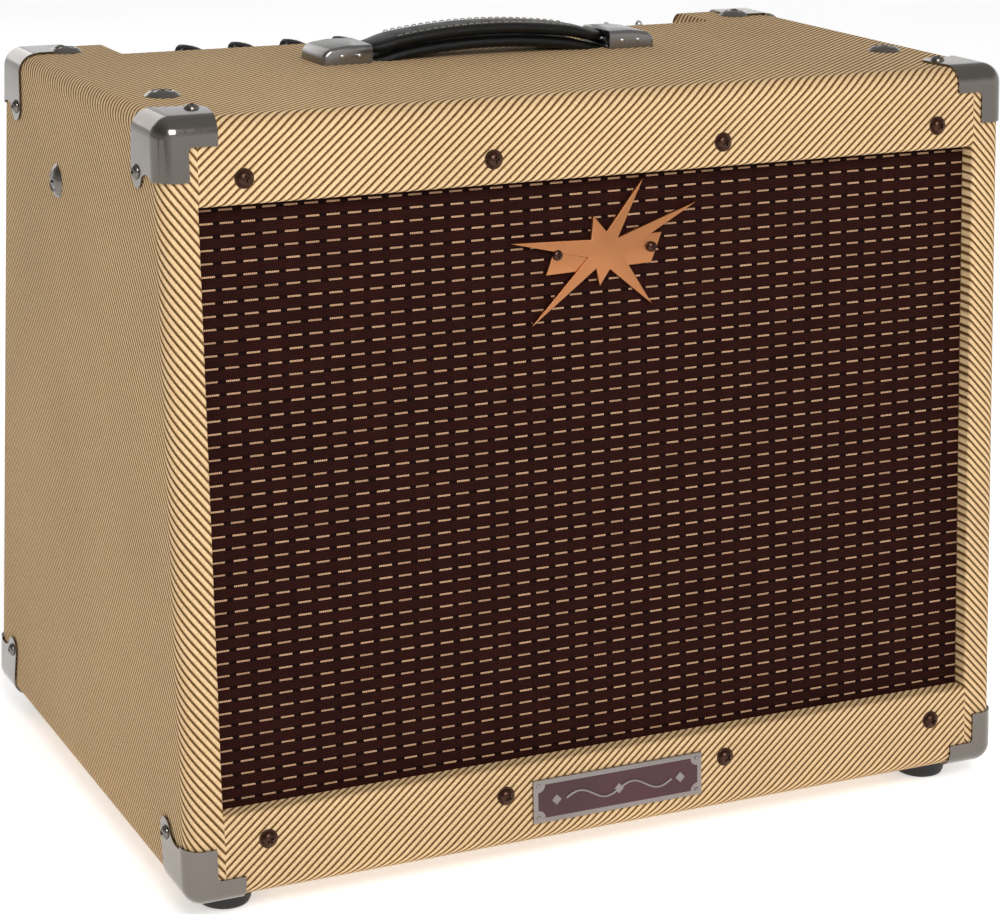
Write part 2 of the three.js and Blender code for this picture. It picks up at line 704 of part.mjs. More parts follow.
// A pointer knob: round skirt with a tall blade that runs out to a pointer.
function knobShape() {
  const skirt = postSolid(KNOB_RADIUS, 0, 0, 0, KNOB_HEIGHT * 0.62, 24, KNOB_RADIUS - 1);
  const blade = outline([
    [-KNOB_RADIUS - 1, 0],
    [KNOB_POINTER - 4, 0],
    [KNOB_POINTER, 3],
    [KNOB_POINTER - 2, KNOB_HEIGHT * 0.62],
    [KNOB_RADIUS - 3, KNOB_HEIGHT * 0.9],
    [-KNOB_RADIUS + 2, KNOB_HEIGHT],
    [-KNOB_RADIUS - 1, KNOB_HEIGHT * 0.8],
  ]);
  const thickness = 6.5;
  const ridge = bent(extrude(blade, thickness), (a, b, c) => [a, c - thickness / 2, b]);
  return surface(joined(skirt, ridge));
}

function addControls() {
  const shape = knobShape();
  for (let i = 0; i < KNOB_COUNT; i++) {
    const knob = add(`knob_${i + 1}`, shape.clone(), "bakelite");
    knob.position.set(KNOB_FIRST_X + i * KNOB_PITCH, CONTROL_Y, CONTROL_TOP + 0.5);
    knob.rotation.z = radians(KNOB_REST_TURN);
  }
  const cap = box(
    -BUTTON_SIZE / 2,
    BUTTON_SIZE / 2,
    -BUTTON_SIZE / 2,
    BUTTON_SIZE / 2,
    -4,
    BUTTON_BEZEL + BUTTON_HEIGHT - 1,
  );
  for (const [name, dy] of [["channel_button", -STACK], ["boost_button", STACK]]) {
    const button = add(name, cap.clone(), "bakelite");
    button.position.set(BUTTON_X, CONTROL_Y + dy, CONTROL_TOP);
  }
  const ball = new THREE.SphereGeometry(3.2, 16, 10);
  const bat = post(1.6, 0, 0, 0, TOGGLE_LENGTH, 16, 2.7);
  const tip = new THREE.SphereGeometry(2.7, 16, 8).translate(0, 0, TOGGLE_LENGTH);
  const lever = surface(joined(solid(ball), solid(bat), solid(tip)));
  for (const [i, name] of ["standby_switch", "power_switch"].entries()) {
    const toggle = add(name, lever.clone(), "chrome");
    toggle.position.set(TOGGLE_X[i], CONTROL_Y, toggleUp);
    toggle.rotation.x = -radians(TOGGLE_THROW / 2);
  }
  const lamp = [
    [0, 0],
    [9, 0],
    [9, 3],
    [7, 4.5],
    [6.5, 8],
    [4, 11],
    [0, 12],
  ].map(([r, z]) => new THREE.Vector2(r, z));
  const jewel = add("pilot_lamp", new THREE.LatheGeometry(lamp, 20).rotateX(Math.PI / 2), "jewel");
  jewel.position.set(LAMP_X, CONTROL_Y, CONTROL_TOP + GAP);
}

// ---------------------------------------------------------------- under the chassis

function lathe(points, segments) {
  return new THREE.LatheGeometry(points.map(([r, z]) => new THREE.Vector2(r, z)), segments);
}

function addTubes() {
  const top = CHASSIS_BOTTOM - SOCKET_HEIGHT - GAP;
  const tube = (length) =>
    lathe(
      [
        [0, -length],
        [2.5, -length + 1],
        [3.5, -length + 5],
        [TUBE_RADIUS - 2, -length + 9],
        [TUBE_RADIUS, -length + 14],
        [TUBE_RADIUS, 0],
        [0, 0],
      ],
      20,
    ).rotateX(Math.PI / 2);
  POWER_TUBE_X.forEach((x, i) => {
    add(`power_tube_${i + 1}`, tube(POWER_TUBE_LENGTH), "glass").position.set(x, TUBE_Y, top);
  });
  PREAMP_TUBE_X.forEach((x, i) => {
    add(`preamp_tube_${i + 1}`, tube(PREAMP_TUBE_LENGTH), "glass").position.set(x, TUBE_Y, top);
  });
}

// A laminated core with a winding that bulges from its two open sides.
function transformer(width, depth, height) {
  const core = boxSolid(-width / 2, width / 2, -depth / 3, depth / 3, -height, 0);
  const winding = boxSolid(-width / 3, width / 3, -depth / 2, depth / 2, -height * 0.82, -height * 0.18);
  const feet = boxSolid(-width / 2 - 8, width / 2 + 8, -depth / 5, depth / 5, -2, 0);
  return joined(core, winding, feet);
}

function addTransformers() {
  const z = CHASSIS_BOTTOM - GAP;
  for (const [name, { x, back, size }] of [
    ["power_transformer", POWER_TRANSFORMER],
    ["output_transformer", OUTPUT_TRANSFORMER],
  ]) {
    add(name, transformer(...size), "iron").position.set(x, CHASSIS_FRONT_Y + back, z);
  }
}

function addReverbTank() {
  const z0 = INNER_BOTTOM;
  const y0 = rearY(z0 + TANK_HEIGHT) - BACK_THICKNESS - TANK_FROM_BACK - TANK_DEPTH;
  const wall = 1.2;
  const [w, d, h] = [TANK_WIDTH / 2, TANK_DEPTH, TANK_HEIGHT];
  const shell = carved(
    boxSolid(-w, w, y0, y0 + d, z0, z0 + h),
    boxSolid(-w + wall, w - wall, y0 + wall, y0 + d - wall, z0 - 1, z0 + h - wall),
  );
  const sockets = [-w + 25, w - 25].map((x) => rodSolid(4.5, x, z0 + h / 2, y0 + d - 1, y0 + d + 8, 16));
  add("reverb_tank", joined(shell, ...sockets), "steel");
}

// ---------------------------------------------------------------- loudspeaker

// Built round the front plane's y axis, which the lathe's own axis is turned onto.
function addSpeaker() {
  const place = (mesh) => mesh.position.set(0, 0, SPEAKER_UP);
  const y0 = BAFFLE_BACK;
  const back = y0 + SPEAKER_FRAME_DEPTH;
  const wall = 1.5;
  const rim = SPEAKER_HOLE + 2;
  const neck = 40;
  const seat = MAGNET_RADIUS - 5;
  const frame = solid(
    lathe(
      [
        [SPEAKER_HOLE, y0],
        [SPEAKER_RADIUS, y0],
        [SPEAKER_RADIUS, y0 + wall],
        [rim + wall, y0 + wall * 2],
        [rim, y0 + 14],
        [seat, back],
        [neck, back],
        [neck, back - wall],
        [seat - wall, back - wall],
        [rim - wall * 2, y0 + 14 - wall],
        [SPEAKER_HOLE, y0 + wall * 2],
        [SPEAKER_HOLE, y0],
      ],
      40,
    ),
  );
  let basket = frame;
  const windows = 6;
  for (let i = 0; i < windows; i++) {
    const window = extrude(
      outline([
        [-22, seat + 6],
        [22, seat + 6],
        [40, rim - 8],
        [-40, rim - 8],
      ]),
      SPEAKER_FRAME_DEPTH,
    );
    window.rotateX(-Math.PI / 2).rotateY(((i + 0.5) * 2 * Math.PI) / windows);
    window.translate(0, y0 + 8, 0);
    basket = carved(basket, solid(window));
  }
  place(add("speaker_basket", basket, "iron", frontPlane));

  const face = back + GAP;
  const magnet = lathe(
    [
      [0, face + 2],
      [COIL_RADIUS - 2, face + 2],
      [COIL_RADIUS - 2, face + MAGNET_DEPTH - 8],
      [COIL_RADIUS + 2, face + MAGNET_DEPTH - 8],
      [COIL_RADIUS + 2, face],
      [seat - 6, face],
      [seat - 6, face + 5],
      [MAGNET_RADIUS, face + 5],
      [MAGNET_RADIUS, face + MAGNET_DEPTH - 7],
      [seat - 6, face + MAGNET_DEPTH - 7],
      [seat - 6, face + MAGNET_DEPTH],
      [0, face + MAGNET_DEPTH],
    ],
    36,
  );
  place(add("speaker_magnet", magnet, "iron", frontPlane));

  const paper = 0.9;
  const deep = back - 14;
  const cone = lathe(
    [
      [0, deep - 16],
      [COIL_RADIUS * 0.55, deep - 14],
      [COIL_RADIUS, deep - 6],
      [CONE_RADIUS, y0 + 6],
      [CONE_RADIUS, y0 + 6 + paper],
      [COIL_RADIUS + 1, deep],
      [COIL_RADIUS + 1, face + MAGNET_DEPTH - 14],
      [COIL_RADIUS, face + MAGNET_DEPTH - 14],
      [COIL_RADIUS, deep - 3],
      [COIL_RADIUS * 0.55, deep - 12],
      [0, deep - 14],
    ],
    40,
  );
  place(add("speaker_cone", cone, "paper", frontPlane));
}

// The lead from the speaker's terminals up to the chassis.
function addSpeakerLead() {
  const points = [
    [-132, -110, 224],
    [-142, -102, 226],
    [-160, -78, 238],
    [-182, -36, 270],
    [-203, 6, 312],
    [-210, 30, 340],
    [-210, 36, 356],
    [-210, 38, CHASSIS_BOTTOM - 4 * GAP],
  ].map(([x, y, z]) => new THREE.Vector3(x, y, z));
  const section = new THREE.Shape();
  section.absarc(0, 0, 2, 0, 2 * Math.PI, false);
  const lead = new THREE.ExtrudeGeometry(section, {
    steps: 28,
    curveSegments: 4,
    bevelEnabled: false,
    extrudePath: new THREE.CatmullRomCurve3(points),
  });
  add("speaker_lead", bent(lead, (x, y, z) => [x, y, z]), "rubber");
}

addSides();
addTopAndBottom();
addFront();
addBack();
addCorners();
addFeet();
addHandle();
addPlateAndBadge();
addChassis();
addMainsInlet();
addControlPanel();
addControls();
addTubes();
addTransformers();
addReverbTank();
addSpeaker();
addSpeakerLead();

export default amplifier;
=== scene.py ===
"""The looks of a tube guitar combo amplifier: tweed covering, woven grille, nickel corners and controls.

Metres, +Z up, the grille faces -Y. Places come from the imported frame; MM turns millimetres into metres.
"""

import json
import math
import random

import bmesh
import bpy
from mathutils import Matrix, Vector


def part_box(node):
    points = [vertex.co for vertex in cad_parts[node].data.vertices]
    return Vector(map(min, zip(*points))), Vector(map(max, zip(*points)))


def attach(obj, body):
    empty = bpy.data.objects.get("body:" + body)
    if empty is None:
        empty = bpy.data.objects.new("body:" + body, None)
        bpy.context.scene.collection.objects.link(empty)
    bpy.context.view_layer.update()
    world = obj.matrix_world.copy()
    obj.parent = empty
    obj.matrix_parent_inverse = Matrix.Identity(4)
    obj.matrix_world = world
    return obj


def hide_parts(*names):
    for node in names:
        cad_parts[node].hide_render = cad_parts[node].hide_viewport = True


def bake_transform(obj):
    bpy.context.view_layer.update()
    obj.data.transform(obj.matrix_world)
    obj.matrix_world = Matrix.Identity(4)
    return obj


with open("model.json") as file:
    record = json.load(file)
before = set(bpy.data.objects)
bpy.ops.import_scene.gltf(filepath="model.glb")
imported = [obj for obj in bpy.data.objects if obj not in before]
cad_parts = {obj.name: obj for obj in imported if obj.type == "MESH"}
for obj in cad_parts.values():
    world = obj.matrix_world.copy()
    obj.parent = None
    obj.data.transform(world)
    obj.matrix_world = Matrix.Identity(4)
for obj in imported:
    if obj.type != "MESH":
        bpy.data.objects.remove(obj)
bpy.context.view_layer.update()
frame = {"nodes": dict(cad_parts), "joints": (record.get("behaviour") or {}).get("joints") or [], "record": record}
NODES = frame["nodes"]
JOINTS = {joint["name"]: joint for joint in frame["joints"]}
OPENINGS = {o["name"]: o["box_m"] for o in frame["record"]["physics"]["openings"]}

MM = 0.001
QUARTER = math.pi / 2
random.seed(7)

# Sizes read from the photograph in millimetres, and turns in degrees.
STRIPE_ACROSS, STRIPE_ALONG = 5.2, 4.5
STRIPE_THREADS = 8
GRILLE_ROW, GRILLE_DASH = 7.0, 12.0
FRONT_SCREWS_X = (-214, -71, 71, 214)
FRONT_SCREW_RISE, FRONT_SCREW_DROP = 32.7, 32
CUP_X, CUP_FROM_FRONT, CUP_FROM_REAR = 230, 80, 30
SIDE_CUP_Y, SIDE_CUP_DROP = 22, 62.5
KNOB_REST_TURN = 25
DIAL_TICKS, DIAL_START, DIAL_STEP, DIAL_RADIUS = 11, 240, 30, 13

# ---------------------------------------------------------------- the cabinet, read from the frame

rail_low, rail_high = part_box("front_rail_bottom"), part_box("front_rail_top")
back_low, back_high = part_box("back_panel_lower"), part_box("back_panel_upper")
FLOOR_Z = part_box("bottom_panel")[0].z
TOP_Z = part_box("top_panel")[1].z
HALF_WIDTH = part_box("side_right")[1].x
HALF_OPENING = rail_low[1].x + 0.3 * MM
OPENING_LOW, OPENING_HIGH = rail_low[1].z, rail_high[0].z
FRONT_SLOPE = (rail_high[0].y - rail_low[0].y) / (rail_high[0].z - rail_low[0].z)
REAR_SLOPE = (back_high[1].y - back_low[1].y) / (back_high[0].z - back_low[0].z)
FRONT_LEAN = math.atan(FRONT_SLOPE)
REAR_LEAN = math.atan(REAR_SLOPE)
EDGE = 10 * MM
BOARD = 19 * MM
RAIL = 10.2 * MM
CUT_HALF = -OPENINGS["controls_end"][0][0] + 0.6 * MM
CUT_Y = OPENINGS["controls_front"][0][1] - 0.6 * MM


def at(x, y, z):
    return Matrix.Translation((x, y, z))


def turned(angle, axis):
    return Matrix.Rotation(angle, 4, axis)


def over_middle(low, high, z):
    """A place at a height over the middle of a box."""
    return at((low.x + high.x) / 2, (low.y + high.y) / 2, z)


def front_y(z):
    return rail_low[0].y + (z - rail_low[0].z) * FRONT_SLOPE


def rear_y(z):
    return back_low[1].y + (z - back_low[0].z) * REAR_SLOPE


def on_front(x, up, proud=0.0):
    """A matrix at a height on the leaning front: X right, Y up the front, Z out of it."""
    turn = turned(QUARTER - FRONT_LEAN, "X")
    return at(x, front_y(up), up) @ turn @ at(0, 0, proud)


def on_rear(x, up, proud=0.0):
    """The same on the leaning back, seen from behind."""
    turn = turned(math.pi, "Z") @ turned(QUARTER + REAR_LEAN, "X")
    return at(x, rear_y(up), up) @ turn @ at(0, 0, proud)


def on_side(side, y, z, proud=0.0):
    turn = turned(side * QUARTER, "Y")
    return at(side * HALF_WIDTH, y, z) @ turn @ at(0, 0, proud)


def on_top(x, y, proud=0.0):
    return at(x, y, TOP_Z + proud)


# ---------------------------------------------------------------- shaders


class Look:
    """A material built from nodes around one Principled shader."""

    def __init__(self, name, **sockets):
        self.material = bpy.data.materials.new(name)
        self.material.use_nodes = True
        self.tree = self.material.node_tree
        self.shader = self.tree.nodes["Principled BSDF"]
        for socket, value in sockets.items():
            self.shader.inputs[socket.replace("_", " ")].default_value = value

    def wire(self, value, socket):
        if isinstance(value, bpy.types.NodeSocket):
            self.tree.links.new(value, socket)
        else:
            socket.default_value = value

    def add(self, kind, inputs=None, **settings):
        node = self.tree.nodes.new(kind)
        for key, value in settings.items():
            setattr(node, key, value)
        for key, value in (inputs or {}).items():
            self.wire(value, node.inputs[key])
        return node

    def math(self, operation, a, b=0.0, c=0.0):
        return self.add("ShaderNodeMath", {0: a, 1: b, 2: c}, operation=operation).outputs[0]

    def times(self, a, b):
        return self.math("MULTIPLY", a, b)

    def plus(self, a, b):
        return self.math("ADD", a, b)

    def minus(self, a, b):
        return self.math("SUBTRACT", a, b)

    def mix(self, share, a, b, blend="MIX"):
        node = self.add("ShaderNodeMix", data_type="RGBA", blend_type=blend)
        for socket, value in zip((node.inputs[0], node.inputs[6], node.inputs[7]), (share, a, b)):
            self.wire(value, socket)
        return node.outputs[2]

    def spread(self, value, low, high, out_low, out_high):
        inputs = {0: value, 1: low, 2: high, 3: out_low, 4: out_high}
        return self.add("ShaderNodeMapRange", inputs).outputs[0]

    def noise(self, scale, detail=3.0, vector=None, roughness=0.55):
        inputs = {"Scale": scale, "Detail": detail, "Roughness": roughness}
        inputs["Vector"] = self.place() if vector is None else vector
        return self.add("ShaderNodeTexNoise", inputs).outputs["Fac"]

    def place(self, stretch=(1, 1, 1)):
        source = self.add("ShaderNodeTexCoord").outputs["Object"]
        return self.add("ShaderNodeMapping", {"Vector": source, "Scale": stretch}).outputs[0]

    def flat(self, layer):
        """The two coordinates of a flat layer, in millimetres."""
        source = self.add("ShaderNodeUVMap", uv_map=layer).outputs[0]
        parts = self.add("ShaderNodeSeparateXYZ", {0: source}).outputs
        return self.math("DIVIDE", parts[0], MM), self.math("DIVIDE", parts[1], MM)

    def colour(self, value):
        self.wire(value, self.shader.inputs["Base Color"])

    def rough(self, value):
        self.wire(value, self.shader.inputs["Roughness"])

    def bump(self, height, strength, distance):
        inputs = {"Height": height, "Strength": strength, "Distance": distance}
        node = self.add("ShaderNodeBump", inputs)
        self.wire(node.outputs[0], self.shader.inputs["Normal"])


def rgb(red, green, blue):
    """A colour given as 0 to 255 display values, made linear."""
    parts = [(v / 255 / 12.92 if v < 11 else ((v / 255 + 0.055) / 1.055) ** 2.4) for v in (red, green, blue)]
    return (*parts, 1.0)


def shade(tone, share, lift=0.0):
    """A colour made darker or lighter."""
    return (*(min(1.0, v * share + lift) for v in tone[:3]), 1.0)


def make_tweed():
    """Diagonal twill: eight threads to a stripe each way, five cream and three brown."""
    look = Look("tweed_cloth", Roughness=0.82, Specular_IOR_Level=0.12)
    across, along = look.flat("cloth")
    thread_a = look.math("DIVIDE", across, STRIPE_ACROSS / STRIPE_THREADS)
    thread_b = look.math("DIVIDE", along, STRIPE_ALONG / STRIPE_THREADS)
    step_a, step_b = look.math("FLOOR", thread_a), look.math("FLOOR", thread_b)
    phase = look.math("FLOORED_MODULO", look.minus(step_a, step_b), float(STRIPE_THREADS))
    brown = look.math("LESS_THAN", phase, 2.5)
    edge = look.math("COMPARE", phase, 3.0, 0.6)
    cell = look.add("ShaderNodeCombineXYZ", {0: step_a, 1: step_b}).outputs[0]
    speck = look.add("ShaderNodeTexWhiteNoise", {"Vector": cell}, noise_dimensions="2D").outputs[0]
    cream = look.mix(speck, rgb(210, 177, 134), rgb(228, 197, 152))
    dark = look.mix(speck, rgb(80, 54, 26), rgb(112, 80, 44))
    cream = look.mix(look.times(edge, 0.45), cream, rgb(158, 122, 80))
    cloth = look.mix(brown, cream, dark)
    cloud = look.spread(look.noise(9.0, 4.0), 0.3, 0.7, 0.93, 1.04)
    tint = look.add("ShaderNodeCombineColor", {0: cloud, 1: cloud, 2: cloud}).outputs[0]
    look.colour(look.mix(1.0, cloth, tint, "MULTIPLY"))
    round_a = look.math("PINGPONG", thread_a, 0.5)
    round_b = look.math("PINGPONG", thread_b, 0.5)
    height = look.plus(look.times(round_a, round_b), look.times(brown, -0.12))
    look.bump(height, 0.7, 0.35 * MM)
    return look.material


def make_grille_cloth():
    """Oxblood cloth with rows of short tan threads and faint ribs between them."""
    look = Look("grille_weave", Roughness=0.9, Specular_IOR_Level=0.06)
    across, up = look.flat("cloth")
    row = look.math("DIVIDE", up, GRILLE_ROW)
    column = look.math("DIVIDE", across, GRILLE_DASH)
    in_row = look.math("ABSOLUTE", look.minus(look.math("FRACT", row), 0.5))
    cell = look.add("ShaderNodeCombineXYZ", {0: look.math("FLOOR", column), 1: look.math("FLOOR", row)})
    dice = look.add("ShaderNodeTexWhiteNoise", {"Vector": cell.outputs[0]}, noise_dimensions="2D")
    chance = dice.outputs[0]
    shift = look.times(look.minus(chance, 0.5), 0.08)
    along_dash = look.plus(look.math("FRACT", column), shift)
    in_dash = look.math("ABSOLUTE", look.minus(along_dash, 0.5))
    on_row = look.math("LESS_THAN", in_row, 0.075)
    on_dash = look.math("LESS_THAN", in_dash, 0.32)
    dash = look.times(on_row, on_dash)
    fine_a = look.math("FRACT", look.times(across, 1.25))
    fine_b = look.math("FRACT", look.times(up, 1.0))
    rib = look.math("PINGPONG", look.times(across, 1.25), 0.5)
    weave = look.times(rib, look.math("PINGPONG", up, 0.5))
    over_a, over_b = look.math("GREATER_THAN", fine_a, 0.5), look.math("GREATER_THAN", fine_b, 0.6)
    knots = look.times(over_a, over_b)
    ground = look.mix(knots, rgb(30, 10, 8), rgb(66, 30, 22))
    blotch = look.spread(look.noise(60.0, 3.0), 0.35, 0.65, 0.0, 0.35)
    ground = look.mix(blotch, ground, rgb(20, 6, 6))
    band = look.math("LESS_THAN", in_row, 0.16)
    ground = look.mix(look.times(band, 0.75), ground, rgb(12, 4, 4))
    slant = look.plus(look.times(across, 0.9), look.times(up, 0.5))
    twist = look.math("FRACT", slant)
    thread = look.mix(look.math("GREATER_THAN", twist, 0.65), rgb(196, 158, 124), rgb(120, 86, 62))
    thread = look.mix(look.times(chance, 0.45), thread, rgb(116, 84, 66))
    look.colour(look.mix(dash, ground, thread))
    look.bump(look.plus(look.times(weave, 1.2), dash), 0.8, 0.5 * MM)
    return look.material


def make_metal(name, tone, roughness, grain=(40, 40, 400), dirt=0.12):
    """Plated or bare metal with fine brush lines and faint smudges."""
    look = Look(name, Metallic=1.0)
    brush = look.noise(1.0, 2.0, look.place([g * 8 for g in grain]))
    smudge = look.noise(22.0, 4.0)
    look.colour(look.mix(look.spread(smudge, 0.35, 0.7, 0.0, dirt * 3), tone, shade(tone, 0.72)))
    patchy = look.spread(smudge, 0.3, 0.7, roughness * 0.8, roughness * 1.25)
    lines = look.times(look.minus(brush, 0.5), dirt)
    look.rough(look.plus(patchy, lines))
    look.bump(brush, 0.06, 0.2 * MM)
    return look.material


def make_plastic(name, tone, roughness, grain=900.0, depth=0.12):
    """Moulded plastic or rubber with a fine skin and slightly lighter worn patches."""
    look = Look(name, Specular_IOR_Level=0.5)
    skin = look.noise(grain, 2.0)
    wear = look.spread(look.noise(35.0, 5.0), 0.45, 0.75, 0.0, 0.5)
    look.colour(look.mix(wear, tone, shade(tone, 1.6, 0.006)))
    look.rough(look.spread(look.noise(60.0, 3.0), 0.3, 0.7, roughness * 0.85, roughness * 1.2))
    look.bump(skin, depth, 0.2 * MM)
    return look.material


def make_leather():
    look = Look("strap_leather", Specular_IOR_Level=0.22)
    inputs = {"Vector": look.place(), "Scale": 900.0}
    cells = look.add("ShaderNodeTexVoronoi", inputs, feature="DISTANCE_TO_EDGE")
    pores = look.spread(cells.outputs[0], 0.0, 0.25, 0.0, 1.0)
    creases = look.noise(130.0, 5.0)
    look.colour(look.mix(creases, rgb(6, 6, 6), rgb(20, 19, 18)))
    look.rough(look.spread(creases, 0.3, 0.7, 0.3, 0.46))
    look.bump(look.plus(pores, look.times(creases, 0.8)), 0.35, 0.3 * MM)
    return look.material


def make_wood(name, light, dark):
    """Board with growth lines along X and a rough sawn face."""
    look = Look(name, Roughness=0.75, Specular_IOR_Level=0.2)
    grain = look.noise(1.0, 6.0, look.place((14, 160, 160)), 0.65)
    fleck = look.noise(260.0, 2.0)
    tone = look.mix(look.spread(grain, 0.35, 0.68, 0.0, 1.0), light, dark)
    look.colour(look.mix(look.spread(fleck, 0.6, 0.75, 0.0, 0.4), tone, dark))
    look.bump(look.plus(grain, look.times(fleck, 0.4)), 0.4, 0.4 * MM)
    return look.material


def make_paint(name, tone, roughness, metallic=0.0):
    look = Look(name, Metallic=metallic)
    peel = look.noise(420.0, 3.0)
    patch = look.spread(look.noise(18.0, 4.0), 0.35, 0.7, 0.0, 1.0)
    look.colour(look.mix(patch, tone, shade(tone, 1.35, 0.004)))
    look.rough(look.plus(roughness - 0.06, look.times(patch, 0.12)))
    look.bump(peel, 0.18, 0.25 * MM)
    return look.material


def make_glass(name, tone, roughness=0.03):
    look = Look(name, Transmission_Weight=1.0, IOR=1.45)
    look.rough(look.spread(look.noise(50.0, 3.0), 0.4, 0.8, roughness, roughness + 0.12))
    look.colour(look.mix(look.noise(30.0), tone, shade(tone, 0.94)))
    return look.material


def make_paper():
    look = Look("cone_paper", Roughness=0.92, Specular_IOR_Level=0.15)
    fibre = look.noise(320.0, 6.0, None, 0.7)
    look.colour(look.mix(fibre, rgb(30, 28, 27), rgb(74, 70, 66)))
    look.bump(fibre, 0.5, 0.4 * MM)
    return look.material


tweed = make_tweed()
grille_weave = make_grille_cloth()
nickel = make_metal("corner_nickel", rgb(122, 116, 110), 0.15, (30, 30, 60))
chrome = make_metal("bright_chrome", rgb(214, 216, 220), 0.09, (20, 20, 20), 0.03)
brushed = make_metal("brushed_cap", rgb(136, 134, 132), 0.24, (260, 8, 260), 0.1)
plated = make_metal("plated_chassis", rgb(150, 150, 150), 0.36, (14, 14, 14), 0.06)
steel = make_metal("zinc_steel", rgb(170, 172, 175), 0.36, (60, 60, 20))
copper = make_metal("satin_copper", rgb(182, 122, 80), 0.36, (25, 60, 60), 0.08)
plate_metal = make_metal("plate_aluminium", rgb(150, 142, 138), 0.38, (200, 20, 20))
dark_screw = make_metal("bronze_screw", rgb(74, 52, 44), 0.3, (30, 30, 30), 0.1)
rubber = make_plastic("foot_rubber", rgb(22, 22, 23), 0.62)
bakelite = make_plastic("knob_bakelite", rgb(15, 15, 16), 0.3, 300.0, 0.04)
maroon = make_paint("plate_maroon", rgb(58, 22, 28), 0.5)
black_paint = make_paint("black_lacquer", rgb(20, 20, 21), 0.42)
wood_inside = make_wood("inner_board", rgb(120, 92, 62), rgb(74, 52, 32))
plywood = make_wood("baffle_ply", rgb(150, 116, 76), rgb(104, 74, 44))
leather = make_leather()
white_paint = make_paint("white_mark", rgb(232, 228, 216), 0.5)
stitch = make_paint("stitch_thread", rgb(128, 120, 108), 0.8)
glass = make_glass("tube_glass", (0.93, 0.96, 0.97, 1.0))
jewel_red = make_glass("lamp_jewel", (0.8, 0.03, 0.03, 1.0), 0.08)
getter = make_metal("tube_getter", rgb(120, 122, 128), 0.18)
paper = make_paper()
red_board = make_paint("winding_tape", rgb(120, 84, 40), 0.6)
wire_skin = make_plastic("wire_skin", rgb(24, 24, 26), 0.45)

# ---------------------------------------------------------------- mesh tools


def outward(bm):
    """Turns every face outward."""
    bmesh.ops.recalc_face_normals(bm, faces=bm.faces)
    return bm


def bridge(bm, low, high):
    """Faces between two rings of corners."""
    for i in range(len(low)):
        j = (i + 1) % len(low)
        bm.faces.new([low[i], low[j], high[j], high[i]])


def solid_between(outlines, triangles=False):
    """A closed form between two outlines of points in metres."""
    bm = bmesh.new()
    low, high = ([bm.verts.new(point) for point in outline] for outline in outlines)
    bm.faces.new(low)
    bm.faces.new(high)
    bridge(bm, low, high)
    if triangles:
        bmesh.ops.triangulate(bm, faces=bm.faces)
    return outward(bm)


def revolve(profile, segments=40):
    """A closed turned form round Z from (radius, height) points in millimetres."""
    bm = bmesh.new()
    rings = []
    for radius, height in profile:
        if radius < 1e-6:
            rings.append([bm.verts.new((0, 0, height * MM))])
            continue
        ring = []
        for i in range(segments):
            turn = 2 * math.pi * i / segments
            out = radius * MM
            ring.append(bm.verts.new((out * math.cos(turn), out * math.sin(turn), height * MM)))
        rings.append(ring)
    closed = len(rings[0]) > 1 and len(rings[-1]) > 1
    pairs = list(zip(rings, rings[1:])) + ([(rings[-1], rings[0])] if closed else [])
    for low, high in pairs:
        for i in range(segments):
            j = (i + 1) % segments
            face = [low[i % len(low)], low[j % len(low)], high[j % len(high)], high[i % len(high)]]
            face = list(dict.fromkeys(face))
            if len(face) > 2:
                bm.faces.new(face)
    return outward(bm)


def slab(points, depth, bevel=0.0, segments=3):
    """An outline in millimetres, raised along Z from 0 to depth, with rounded top edges."""
    bm = bmesh.new()
    base = bm.faces.new([bm.verts.new((x * MM, y * MM, 0)) for x, y in points])
    made = bmesh.ops.extrude_face_region(bm, geom=[base])
    raised = [v for v in made["geom"] if isinstance(v, bmesh.types.BMVert)]
    bmesh.ops.translate(bm, vec=(0, 0, depth * MM), verts=raised)
    outward(bm)
    if bevel:
        top = [e for e in bm.edges if all(v.co.z > depth * MM - 1e-7 for v in e.verts)]
        round_edges(bm, top, bevel, segments)
    return bm


def round_edges(bm, edges, width, segments=3):
    settings = {"profile": 0.5, "affect": "EDGES", "clamp_overlap": True}
    bmesh.ops.bevel(bm, geom=edges, offset=width * MM, segments=segments, **settings)


def sharp_edges(bm, degrees=40):
    return [e for e in bm.edges if len(e.link_faces) == 2 and e.calc_face_angle(0) > math.radians(degrees)]


def block(size, bevel=0.0, segments=3):
    """A box in millimetres centred on the origin, with all its edges rounded."""
    bm = bmesh.new()
    bmesh.ops.create_cube(bm, size=1.0)
    bmesh.ops.scale(bm, vec=[s * MM for s in size], verts=bm.verts)
    if bevel:
        round_edges(bm, list(bm.edges), bevel, segments)
    return bm


def sweep(points, radius, sides=12, squash=1.0):
    """A closed tube in metres through points, with a radius in millimetres."""
    bm = bmesh.new()
    rings = []
    normal = Vector((0, 0, 1))
    for i, point in enumerate(points):
        before, after = points[max(i - 1, 0)], points[min(i + 1, len(points) - 1)]
        ahead = (after - before).normalized()
        side = ahead.cross(normal)
        if side.length < 1e-4:
            side = ahead.cross(Vector((0, 1, 0)))
        side.normalize()
        normal = side.cross(ahead).normalized()
        ring = []
        for k in range(sides):
            turn = 2 * math.pi * k / sides
            out = side * math.cos(turn) + normal * math.sin(turn) * squash
            ring.append(bm.verts.new(point + out * radius * MM))
        rings.append(ring)
    for low, high in zip(rings, rings[1:]):
        bridge(bm, low, high)
    bm.faces.new(rings[0])
    bm.faces.new(rings[-1])
    return outward(bm)


def stamp(bm, part, matrix=Matrix.Identity(4), material=0):
    """Adds a copy of part to bm at a place."""
    mesh = bpy.data.meshes.new("stamp")
    part.to_mesh(mesh)
    mesh.transform(matrix)
    for polygon in mesh.polygons:
        polygon.material_index = material
    bm.from_mesh(mesh)
    bpy.data.meshes.remove(mesh)
    return bm


